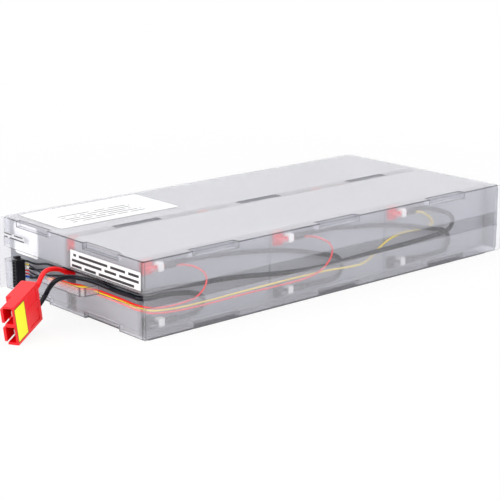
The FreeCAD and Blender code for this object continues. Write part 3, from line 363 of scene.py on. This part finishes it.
def moulded(
    name, colour, edge_colour, roughness, grain=0.0012, blotch=0.06, drift=0.12, bump=0.05,
    edge_radius=0.0006, edge_gain=3.0, gloss=0.3,
):
    """Opaque plastic or rubber. drift is how far the colour wanders, and bump is the grain's depth."""
    material = bpy.data.materials.new(name)
    material.use_nodes = True
    tree = material.node_tree
    shader = tree.nodes["Principled BSDF"]
    noise = add_group(tree, GRAIN, Size=grain, Blotch=blotch)
    edge = add_group(tree, EDGE, Radius=edge_radius, Gain=edge_gain)
    dim = tuple(part * (1 - drift) for part in colour)
    body = mix_colour(tree, noise.outputs["Blotches"], (*dim, 1.0), (*colour, 1.0))
    # Painted highlight: a lighter colour along edges, where a rounded edge would catch the light. On paper
    # and the sticker the edge colour is darker, a painted edge shade.
    painted_edge_light_share = math_node(tree, "MULTIPLY", edge.outputs["Mask"], EDGE_SHARE)
    painted_edge_light = mix_colour(tree, painted_edge_light_share, body, (*edge_colour, 1.0))
    tree.links.new(painted_edge_light, shader.inputs["Base Color"])
    rough = math_node(
        tree, "MULTIPLY_ADD", noise.outputs["Grain"], ROUGHNESS_SWING, roughness - ROUGHNESS_SWING / 2
    )
    tree.links.new(rough, shader.inputs["Roughness"])
    ridge = tree.nodes.new("ShaderNodeBump")
    ridge.inputs["Strength"].default_value = bump
    ridge.inputs["Distance"].default_value = GRAIN_DEPTH
    tree.links.new(noise.outputs["Grain"], ridge.inputs["Height"])
    tree.links.new(edge.outputs["Normal"], ridge.inputs["Normal"])
    tree.links.new(ridge.outputs["Normal"], shader.inputs["Normal"])
    shader.inputs["Specular IOR Level"].default_value = gloss
    return material


def own_place(tree):
    """The piece's own x, y and z, as sockets in metres."""
    split = tree.nodes.new("ShaderNodeSeparateXYZ")
    tree.links.new(tree.nodes.new("ShaderNodeTexCoord").outputs["Object"], split.inputs[0])
    return split.outputs


def tint(material, mask, colour):
    """Lays a colour over the material's own, where the mask is 1."""
    tree = material.node_tree
    target = tree.nodes["Principled BSDF"].inputs["Base Color"]
    under = target.links[0].from_socket
    tree.links.new(mix_colour(tree, mask, under, (*colour, 1.0)), target)


def dress(material, *prefixes):
    """Gives a material to every CAD node whose name starts with one of the prefixes."""
    chosen = [node for name, node in NODES.items() if name.startswith(prefixes)]
    for node in chosen:
        node.data.materials.clear()
        node.data.materials.append(material)
    print(material.name, "on", len(chosen), "nodes")


def paint(material, *pieces):
    """Gives a material to pieces that this script makes."""
    for piece in pieces:
        piece.data.materials.clear()
        piece.data.materials.append(material)


# %% [markdown]
# ### The moulded pieces
#
# The battery cases and their covers differ by a shade, because they are moulded apart. The bases of the
# poles are red and black, and the insulators behind them white nylon.

# %% Moulded pieces
POLE_RED, POLE_RED_EDGE = (0.72, 0.012, 0.02), (0.85, 0.06, 0.06)
case_plastic = moulded(
    "case_plastic", (0.26, 0.265, 0.295), (0.36, 0.36, 0.40), 0.55, grain=0.0009, drift=0.15, bump=0.25
)
cover_plastic = moulded(
    "cover_plastic", (0.28, 0.285, 0.315), (0.38, 0.38, 0.42), 0.5, grain=0.0009, drift=0.15, bump=0.2
)
dress(case_plastic, "battery_case")
dress(cover_plastic, "battery_cover")
dress(moulded("terminal_red", POLE_RED, POLE_RED_EDGE, 0.4), "positive_terminal_bases")
dress(moulded("terminal_black", (0.012, 0.012, 0.013), (0.05, 0.05, 0.05), 0.4), "negative_terminal_bases")
dress(moulded("nylon_white", (0.83, 0.82, 0.78), (0.9, 0.9, 0.88), 0.45), "receptacle_insulators")
dress(
    moulded("plug_red", (0.86, 0.0, 0.006), (0.95, 0.16, 0.18), 0.33, bump=0.03, drift=0.06, gloss=0.5),
    "power_plug_housing",
)
dress(
    moulded("plug_black", (0.014, 0.014, 0.018), (0.12, 0.12, 0.13), 0.42, bump=0.08, drift=0.2, gloss=0.12),
    "sense_plug_housing",
)
tape = moulded("tape_grey", (0.42, 0.42, 0.44), (0.42, 0.42, 0.44), 0.85, bump=0.3)
dress(tape, "adhesive_strips")

# %% [markdown]
# ## Tape and the far pad
#
# Foam tape holds the batteries to both trays. Through the sheet its pieces run together into one even tone,
# so four long pads stand for them here. They keep a little clear of the clear sheets, because two surfaces
# in the same place fight over every pixel. A fifth pad, a grey block that stands in for the shade there,
# fills the space between the last batteries and the far wall, which looks grey in the photograph.

# %% Tape and pad
EASED_RIM = 0.1 * MM


def slab(name, corner, far_corner):
    """A rectangular block with a slightly eased rim."""
    shape = bmesh.new()
    bmesh.ops.create_cube(shape, size=1.0)
    low, high = Vector(corner), Vector(far_corner)
    bmesh.ops.scale(shape, verts=shape.verts, vec=high - low)
    bmesh.ops.translate(shape, verts=shape.verts, vec=(low + high) / 2)
    bmesh.ops.bevel(
        shape, geom=shape.edges[:], offset=EASED_RIM, affect="EDGES", segments=2, profile=0.5, material=-1
    )
    mesh = bpy.data.meshes.new(name)
    shape.to_mesh(mesh)
    shape.free()
    piece = bpy.data.objects.new(name, mesh)
    bpy.context.scene.collection.objects.link(piece)
    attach(piece, "root")
    return piece


TAPE_CLEARANCE = 0.15
TAPE_OVERHANG = 3.2
LOWER_TAPE_TOP, UPPER_TAPE_BOTTOM = 2.5, 67.5
tape_low, tape_high = (corner / MM for corner in map(Vector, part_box("adhesive_strips")))
TAPE_ROWS = {"front": (-95.0, -2.0), "rear": (13.0, 106.0)}
TAPE_LAYERS = {"lower": (tape_low.z, LOWER_TAPE_TOP), "upper": (UPPER_TAPE_BOTTOM, tape_high.z)}
for row, (near_y, far_y) in TAPE_ROWS.items():
    for layer, (bottom, top) in TAPE_LAYERS.items():
        piece = slab(
            f"tape_{layer}_{row}",
            Vector((tape_low.x - TAPE_OVERHANG, near_y, bottom + TAPE_CLEARANCE)) * MM,
            Vector((tape_high.x + TAPE_OVERHANG, far_y, top - TAPE_CLEARANCE)) * MM,
        )
        paint(tape, piece)
        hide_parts("adhesive_strips")

# Painted shade: a grey block that keeps the far end of the trays dark.
far_shade_grey = moulded("far_shade_grey", (0.30, 0.30, 0.33), (0.30, 0.30, 0.33), 0.8, bump=0.3)
PAD_CORNERS = Vector((234.2, -109.2, 3.0)), Vector((238.6, 106.0, 67.0))
far_shade_pad = slab("far_shade_pad", PAD_CORNERS[0] * MM, PAD_CORNERS[1] * MM)
paint(far_shade_grey, far_shade_pad)
print("pads:", len(TAPE_ROWS) * len(TAPE_LAYERS), "of tape and", far_shade_pad.name)

# %% [markdown]
# ## Cable insulation
#
# Extruded insulation is smoother than a moulding and takes long soft highlights, so its grain and roughness
# stay low. The shrink sleeves are rougher than the cables that they cover. The thin wires show their
# colours at the sense plug and in the trays, and wear a black sheath on the stretch between. The rear wires
# wear theirs all the way, so a Displace modifier makes them thicker, after a Weld has joined the loose
# triangles of the CAD mesh.

# %% Cables, wires and sleeves
BLACK = (0.004, 0.005, 0.010)
SHEATH_INNER = 20 * MM
SHEATH_OUTER = 61.5 * MM
SHEATH_EVERYWHERE = -1.0
SHEATH_THICKNESS = 0.3 * MM
WELD_REACH = 0.01 * MM


def wire(name, colour, plug_colour, sheath_from):
    """Wire insulation that is black between two places across the object, sheath_from and SHEATH_OUTER."""
    material = moulded(name, colour, colour, 0.36, bump=0.02)
    tree = material.node_tree
    across = own_place(tree)[1]
    tint(material, math_node(tree, "GREATER_THAN", across, sheath_from), BLACK)
    tint(material, math_node(tree, "GREATER_THAN", across, SHEATH_OUTER), plug_colour)
    return material


RED, YELLOW = (0.88, 0.004, 0.008), (0.98, 0.72, 0.004)
WHITE, BLUE = (0.85, 0.85, 0.83), (0.01, 0.10, 0.62)
black_skin = moulded("cable_black", BLACK, (0.01, 0.01, 0.012), 0.19, bump=0.02, gloss=0.2)
red_skin = moulded("cable_red", (0.95, 0.0, 0.004), (0.95, 0.02, 0.02), 0.30, bump=0.02)
sleeve_skin = moulded("sleeve_black", (0.014, 0.014, 0.015), (0.04, 0.04, 0.04), 0.5, bump=0.2)
dress(black_skin, "link_cable", "row_link_cable", "negative_lead")
dress(red_skin, "positive_lead")
dress(wire("wire_red", RED, RED, SHEATH_INNER), "sense_wire_front_1", "sense_wire_front_2")
dress(wire("wire_yellow", YELLOW, YELLOW, SHEATH_INNER), "sense_wire_front_3")
dress(wire("wire_black", BLACK, BLACK, SHEATH_EVERYWHERE), "sense_wire_rear_1")
dress(wire("wire_white", BLACK, WHITE, SHEATH_EVERYWHERE), "sense_wire_rear_2")
dress(wire("wire_blue", BLACK, BLUE, SHEATH_EVERYWHERE), "sense_wire_rear_3")
dress(sleeve_skin, "shrink_sleeves")
for name in ("sense_wire_rear_1", "sense_wire_rear_2", "sense_wire_rear_3"):
    joined = NODES[name].modifiers.new("joined", "WELD")
    joined.merge_threshold = WELD_REACH
    sheath = NODES[name].modifiers.new("sheath", "DISPLACE")
    sheath.mid_level = 0.0
    sheath.strength = SHEATH_THICKNESS
paint(red_skin, red_lead)
paint(black_skin, black_lead)

# %% [markdown]
# ## Metal
#
# The blades and contacts are brass with a tin plate, which is a soft grey metal with a matt grain. Seen
# through the side, a receptacle and the base behind it are one block in the colour of the pole, so each
# receptacle takes its pole's colour: red for the upper row of terminals, black for the lower.

# %% Plated metal
plated = moulded("plated_brass", (0.62, 0.60, 0.56), (0.75, 0.74, 0.71), 0.34, grain=0.0006, bump=0.1)
plated.node_tree.nodes["Principled BSDF"].inputs["Metallic"].default_value = 1.0
dress(plated, "terminal_blades", "power_plug_contacts", "sense_plug_contacts")
POLE_SPLIT = 35 * MM
receptacle_skin = moulded("receptacle_skin", POLE_RED, POLE_RED_EDGE, 0.4)
height = own_place(receptacle_skin.node_tree)[2]
lower_row = math_node(receptacle_skin.node_tree, "LESS_THAN", height, POLE_SPLIT)
tint(receptacle_skin, lower_row, (0.03, 0.03, 0.035))
dress(receptacle_skin, "receptacles")

# %% [markdown]
# ## Frosted sheet
#
# The trays are formed from one thin sheet of natural plastic. What lies against it shows almost sharp, and
# what lies further back melts away, as through bathroom glass. Rough transmission does exactly this,
# because the blur grows with the distance behind the sheet. In the trays a tenth of the light meets a plain
# pale surface instead, which gives the milky tone. A shadow ray can't follow a rough refraction, and the
# batteries would lie in the dark, so nearly all shadow and diffuse rays pass straight through.
#
# A clear sheet is drawn by its edges. Its rims and level bends get painted shade, dark lines in the
# colour, and an upright bend gets a painted highlight, a bright stripe with a thin dark line of painted
# shade on each side. Towards the far side the lines are weaker.

# %% Frosted sheet
LIGHT_PASS = 0.97
SHEET_IOR = 1.3
EDGE_LINE_GAIN = 30.0
RIM_SHARE = 0.6
NEAR_SIDE_TO = 0.1
FAR_LINE_SHARE = 0.35
SHEET_SWING = 0.04
SHEET_DIM = 0.96
RIPPLE_STRENGTH, RIPPLE_DEPTH = 0.1, 0.0002
TIGHT_BEND = {"Flat": 0.93, "Bent": 0.80}
WIDE_BEND = {"Flat": 0.995, "Bent": 0.96}
# Painted shade: the dark colour laid along the sheets' rims and bends.
PAINTED_EDGE_SHADE = (0.01, 0.01, 0.02)


def sheet_lines(tree, edge_radius):
    """Where a sheet gets its painted dark edge lines, and where it turns an upright corner for the painted
    highlight.
    """
    edge = add_group(tree, EDGE, Radius=edge_radius, Gain=EDGE_LINE_GAIN)
    bend = add_group(tree, BEND, **TIGHT_BEND)
    wide_bend = add_group(tree, BEND, **WIDE_BEND)
    rim = math_node(tree, "SUBTRACT", wide_bend.outputs["Upright"], bend.outputs["Upright"], clamp=True)
    rim = math_node(tree, "MULTIPLY", rim, RIM_SHARE)
    line = math_node(tree, "MAXIMUM", edge.outputs["Mask"], bend.outputs["Level"])
    line = math_node(tree, "MAXIMUM", line, rim)
    near_side = math_node(tree, "LESS_THAN", own_place(tree)[1], NEAR_SIDE_TO)
    share = math_node(tree, "MULTIPLY_ADD", near_side, 1.0 - FAR_LINE_SHARE, FAR_LINE_SHARE)
    return math_node(tree, "MULTIPLY", line, share), bend.outputs["Upright"]


def pass_light(tree, shader):
    """Lets shadow and diffuse rays through a sheet, so that what lies behind it is lit."""
    path = tree.nodes.new("ShaderNodeLightPath")
    lighting = math_node(tree, "MAXIMUM", path.outputs["Is Shadow Ray"], path.outputs["Is Diffuse Ray"])
    passed = math_node(tree, "MULTIPLY", lighting, LIGHT_PASS)
    tree.links.new(math_node(tree, "SUBTRACT", 1.0, passed), shader.inputs["Alpha"])


def frosted(name, colour, line_colour, clearness, roughness, edge_radius, line_weight=1.0):
    """Thin sheet as rough glass. clearness is the share of light that goes through it."""
    material = bpy.data.materials.new(name)
    material.use_nodes = True
    tree = material.node_tree
    shader = tree.nodes["Principled BSDF"]
    noise = add_group(tree, GRAIN, Size=0.0008, Blotch=0.09)
    dim = tuple(part * SHEET_DIM for part in colour)
    body = mix_colour(tree, noise.outputs["Blotches"], (*dim, 1.0), (*colour, 1.0))
    line, upright = sheet_lines(tree, edge_radius)
    lined = mix_colour(tree, math_node(tree, "MULTIPLY", line, line_weight), body, (*line_colour, 1.0))
    # Painted highlight: upright bends are turned white in the colour.
    lit = mix_colour(tree, upright, lined, (1.0, 1.0, 1.0, 1.0))
    tree.links.new(lit, shader.inputs["Base Color"])
    rough = math_node(
        tree, "MULTIPLY_ADD", noise.outputs["Grain"], SHEET_SWING, roughness - SHEET_SWING / 2
    )
    tree.links.new(rough, shader.inputs["Roughness"])
    ridge = tree.nodes.new("ShaderNodeBump")
    ridge.inputs["Strength"].default_value = RIPPLE_STRENGTH
    ridge.inputs["Distance"].default_value = RIPPLE_DEPTH
    tree.links.new(noise.outputs["Blotches"], ridge.inputs["Height"])
    tree.links.new(ridge.outputs["Normal"], shader.inputs["Normal"])
    shader.inputs["Transmission Weight"].default_value = clearness
    shader.inputs["IOR"].default_value = SHEET_IOR
    pass_light(tree, shader)
    return material


sheet = frosted("frosted_sheet", (0.91, 0.91, 0.95), PAINTED_EDGE_SHADE, 0.90, 0.24, 0.7 * MM)
film = frosted("side_film", (0.94, 0.94, 0.97), PAINTED_EDGE_SHADE, 0.95, 0.12, 0.5 * MM)
far_film = frosted("far_film", (0.94, 0.94, 0.97), (0.3, 0.3, 0.32), 0.95, 0.12, 0.35 * MM, 0.4)
dress(sheet, "lower_tray", "upper_tray")
dress(film, "side_sheet_front")
dress(far_film, "side_sheet_rear")

# %% [markdown]
# ## Labels
#
# The labels are pale stock with a few rows of plain bars, so that they read as labels from a step away. The
# one on the battery's end is bare. Each takes its bars in its own plane: along x and y on top, y and z at
# the end.

# %% Paper labels
DARK_BARS = (0.03, 0.03, 0.035)


def paper(name, colour=(0.86, 0.86, 0.87), edge_colour=(0.7, 0.7, 0.7)):
    """Smooth label stock with a fine grain."""
    return moulded(name, colour, edge_colour, 0.5, grain=0.0004, drift=0.03, bump=0.05)


def add_rules(material, axes, middle, half, pitch, thickness, bar, tone):
    """Prints rows of plain bars. All sizes are in millimetres, and axes are those along and across a row."""
    tree = material.node_tree
    rules = add_group(
        tree, RULES, Pitch=pitch * MM, Thickness=thickness * MM, Bar=bar * MM,
        **{"Half Along": half[0] * MM, "Half Across": half[1] * MM},
    )
    place = own_place(tree)
    for label, axis, centre in zip(("Along", "Across"), axes, middle):
        tree.links.new(math_node(tree, "SUBTRACT", place[axis], centre * MM), rules.inputs[label])
    tint(material, rules.outputs["Mask"], tone)


top_paper = paper("top_paper")
end_paper = paper("end_paper", (0.78, 0.78, 0.79))
corner_paper = paper("corner_paper", (0.6, 0.6, 0.62))
add_rules(top_paper, (0, 1), (-147.0, 60.0), (42.0, 16.0), 6.4, 1.9, 3.1, (0.16, 0.16, 0.17))
add_rules(end_paper, (1, 2), (-55.5, 52.2), (49.5, 7.2), 4.9, 2.4, 4.3, DARK_BARS)
add_rules(corner_paper, (1, 2), (89.5, 53.5), (17.0, 2.4), 3.2, 1.1, 3.7, DARK_BARS)
dress(paper("label_paper"), "battery_label")
dress(top_paper, "top_label")
dress(end_paper, "side_label")
dress(corner_paper, "corner_label")

# %% [markdown]
# ### The yellow sticker
#
# The sticker lies on the plug, which is turned and tilted. A Mapping node set to TEXTURE undoes that turn,
# so that the dark border can be written along the sticker's own sides.

# %% Yellow sticker
STICKER_ALONG = (0.4, 19.0)
STICKER_UP = (2.4, 33.7)
BORDER = 0.6


def plug_coordinates(tree):
    """The place on the power plug, along and across and up it, as sockets in metres."""
    turned = tree.nodes.new("ShaderNodeMapping")
    turned.vector_type = "TEXTURE"
    turned.inputs["Location"].default_value = PLUG_PLACE.to_translation()
    turned.inputs["Rotation"].default_value = PLUG_PLACE.to_euler("XYZ")
    tree.links.new(tree.nodes.new("ShaderNodeTexCoord").outputs["Object"], turned.inputs["Vector"])
    split = tree.nodes.new("ShaderNodeSeparateXYZ")
    tree.links.new(turned.outputs["Vector"], split.inputs[0])
    return split.outputs


def near_rim(tree, socket, low, high):
    """Where a coordinate lies within BORDER of the low or the high end, both in millimetres."""
    off_middle = math_node(tree, "ABSOLUTE", math_node(tree, "SUBTRACT", socket, (low + high) / 2 * MM))
    return math_node(tree, "GREATER_THAN", off_middle, ((high - low) / 2 - BORDER) * MM)


sticker = moulded("sticker_yellow", (0.93, 0.86, 0.02), (0.6, 0.55, 0.01), 0.4, grain=0.0004, drift=0.03)
along, _, up = plug_coordinates(sticker.node_tree)
sides = near_rim(sticker.node_tree, along, *STICKER_ALONG)
ends = near_rim(sticker.node_tree, up, *STICKER_UP)
tint(sticker, math_node(sticker.node_tree, "MAXIMUM", sides, ends), (0.05, 0.05, 0.02))
dress(sticker, "power_plug_sticker")

# %% [markdown]
# ## The floor
#
# The photograph has a white ground. The floor shows as white to the camera and through the clear sheets,
# and partly in reflections, but lights the object as a plain pale floor would. It keeps some of its true
# shading near the object, and all of it under the object, where its colour is also darkened as a painted
# shadow, so that the cut-outs along the lower edge look into the dark.

# %% Floor
FOOTPRINT_X, FOOTPRINT_Y = 0.2205, 0.1105
PAINTED_SHADOW_COLOUR, OPEN_FLOOR = (0.10, 0.10, 0.12, 1.0), (0.8, 0.8, 0.8, 1.0)
MIRRORED_SHARE = 0.4
SHADING_FROM, SHADING_TO = 0.3, 0.9
GLOW_AT_OBJECT = 0.86
FLOOR_DROP = 0.0002
FLOOR_ROUGHNESS = 0.9


def beside_object(tree):
    """1 on the open floor and 0 under the object."""
    across_x, across_y, _ = own_place(tree)
    beside_x = math_node(tree, "GREATER_THAN", math_node(tree, "ABSOLUTE", across_x), FOOTPRINT_X)
    beside_y = math_node(tree, "GREATER_THAN", math_node(tree, "ABSOLUTE", across_y), FOOTPRINT_Y)
    return math_node(tree, "MAXIMUM", beside_x, beside_y)


def far_fade(tree):
    """Rises from GLOW_AT_OBJECT near the object to 1 further out."""
    distance = tree.nodes.new("ShaderNodeVectorMath")
    distance.operation = "LENGTH"
    tree.links.new(tree.nodes.new("ShaderNodeTexCoord").outputs["Object"], distance.inputs[0])
    fade = tree.nodes.new("ShaderNodeMapRange")
    fade.interpolation_type = "SMOOTHSTEP"
    fade.inputs["From Min"].default_value = SHADING_FROM
    fade.inputs["From Max"].default_value = SHADING_TO
    fade.inputs["To Min"].default_value = GLOW_AT_OBJECT
    fade.inputs["To Max"].default_value = 1.0
    tree.links.new(distance.outputs["Value"], fade.inputs["Value"])
    return fade.outputs["Result"]


def white_ground():
    """A matt pale floor that glows white only where it is seen, not where it lights the object."""
    material = bpy.data.materials.new("white_ground")
    material.use_nodes = True
    tree = material.node_tree
    shader = tree.nodes["Principled BSDF"]
    shader.inputs["Roughness"].default_value = FLOOR_ROUGHNESS
    shader.inputs["Specular IOR Level"].default_value = 0.0
    glow = tree.nodes.new("ShaderNodeEmission")
    path = tree.nodes.new("ShaderNodeLightPath")
    seen = math_node(tree, "MAXIMUM", path.outputs["Is Camera Ray"], path.outputs["Is Transmission Ray"])
    mirrored = math_node(tree, "MULTIPLY", path.outputs["Is Glossy Ray"], MIRRORED_SHARE)
    seen = math_node(tree, "MAXIMUM", seen, mirrored)
    beside = beside_object(tree)
    # Painted shadow: the floor's colour is dark under the object.
    tree.links.new(mix_colour(tree, beside, PAINTED_SHADOW_COLOUR, OPEN_FLOOR), shader.inputs["Base Color"])
    seen = math_node(tree, "MULTIPLY", seen, beside)
    blend = tree.nodes.new("ShaderNodeMixShader")
    tree.links.new(math_node(tree, "MULTIPLY", seen, far_fade(tree)), blend.inputs[0])
    tree.links.new(shader.outputs[0], blend.inputs[1])
    tree.links.new(glow.outputs[0], blend.inputs[2])
    tree.links.new(blend.outputs[0], tree.nodes["Material Output"].inputs["Surface"])
    return material


FLOOR_HALF = 9.0
shape = bmesh.new()
bmesh.ops.create_grid(shape, x_segments=1, y_segments=1, size=FLOOR_HALF)
bmesh.ops.translate(shape, verts=shape.verts, vec=(0, 0, -FLOOR_DROP))
floor_mesh = bpy.data.meshes.new("floor")
shape.to_mesh(floor_mesh)
shape.free()
floor = bpy.data.objects.new("floor", floor_mesh)
bpy.context.scene.collection.objects.link(floor)
floor_mesh.materials.append(white_ground())
print("floor:", 2 * FLOOR_HALF, "m square")

# %% [markdown]
# ## The world and the lamps
#
# The world is white where it is seen and a plain grey level where it lights the object. In reflections the
# side of the room ahead of the camera is white and the side behind it is dark, which keeps the black cables
# black. Three soft lamps light the top, the long side and the end with the leads. The front one is left out
# of reflections, because at a flat angle it would wash out the top.

# %% World
STUDIO_LEVEL = 0.55
AHEAD = (0.66, 0.75, 0.0)
FADE_HALF = 0.3
BEHIND_CAMERA = -0.8


def mirrored_room(tree, path):
    """What reflections add to the world: from BEHIND_CAMERA behind the camera to 1 ahead of it."""
    ahead = tree.nodes.new("ShaderNodeVectorMath")
    ahead.operation = "DOT_PRODUCT"
    ahead.inputs[1].default_value = AHEAD
    tree.links.new(tree.nodes.new("ShaderNodeTexCoord").outputs["Generated"], ahead.inputs[0])
    bright = tree.nodes.new("ShaderNodeMapRange")
    bright.inputs["From Min"].default_value = -FADE_HALF
    bright.inputs["From Max"].default_value = FADE_HALF
    bright.inputs["To Min"].default_value = BEHIND_CAMERA
    tree.links.new(ahead.outputs["Value"], bright.inputs["Value"])
    return math_node(tree, "MULTIPLY", path.outputs["Is Glossy Ray"], bright.outputs["Result"])


def studio_world():
    """White where it is seen, and STUDIO_LEVEL where it lights."""
    world = bpy.data.worlds.new("studio")
    world.use_nodes = True
    tree = world.node_tree
    path = tree.nodes.new("ShaderNodeLightPath")
    seen = math_node(tree, "MAXIMUM", path.outputs["Is Camera Ray"], path.outputs["Is Transmission Ray"])
    seen = math_node(tree, "ADD", seen, mirrored_room(tree, path))
    level = math_node(tree, "MULTIPLY_ADD", seen, 1.0 - STUDIO_LEVEL, STUDIO_LEVEL)
    tree.links.new(level, tree.nodes["Background"].inputs["Strength"])
    tree.nodes["Background"].inputs["Color"].default_value = (1.0, 1.0, 1.0, 1.0)
    return world


bpy.context.scene.world = studio_world()
print("world:", bpy.context.scene.world.name)

# %% [markdown]
# ### The lamps
#
# Each lamp is a large rectangle, because a large source makes soft shadows. Seen from the far end, the top
# still clips to white.

# %% Lamps
def softbox(name, place, aim, width, height, power):
    """A rectangular lamp that faces a point."""
    data = bpy.data.lights.new(name, "AREA")
    data.shape = "RECTANGLE"
    data.size, data.size_y = width, height
    data.energy = power
    lamp = bpy.data.objects.new(name, data)
    lamp.location = place
    lamp.rotation_euler = (Vector(aim) - Vector(place)).to_track_quat("-Z", "Y").to_euler()
    bpy.context.scene.collection.objects.link(lamp)
    return lamp


softbox("lamp_over", (0.1, 0.3, 1.9), (0, 0, 0), 2.2, 1.8, 14.5)
lamp_front = softbox("lamp_front", (0.9, -1.9, 0.9), (0, 0, 0.03), 2.4, 1.5, 31)
lamp_front.visible_glossy = False
softbox("lamp_end", (-1.9, -0.1, 0.8), (-0.2, 0, 0.03), 1.8, 1.2, 31)
bpy.context.scene.view_settings.view_transform = "Standard"
print("lamps:", sorted(light.name for light in bpy.data.lights))
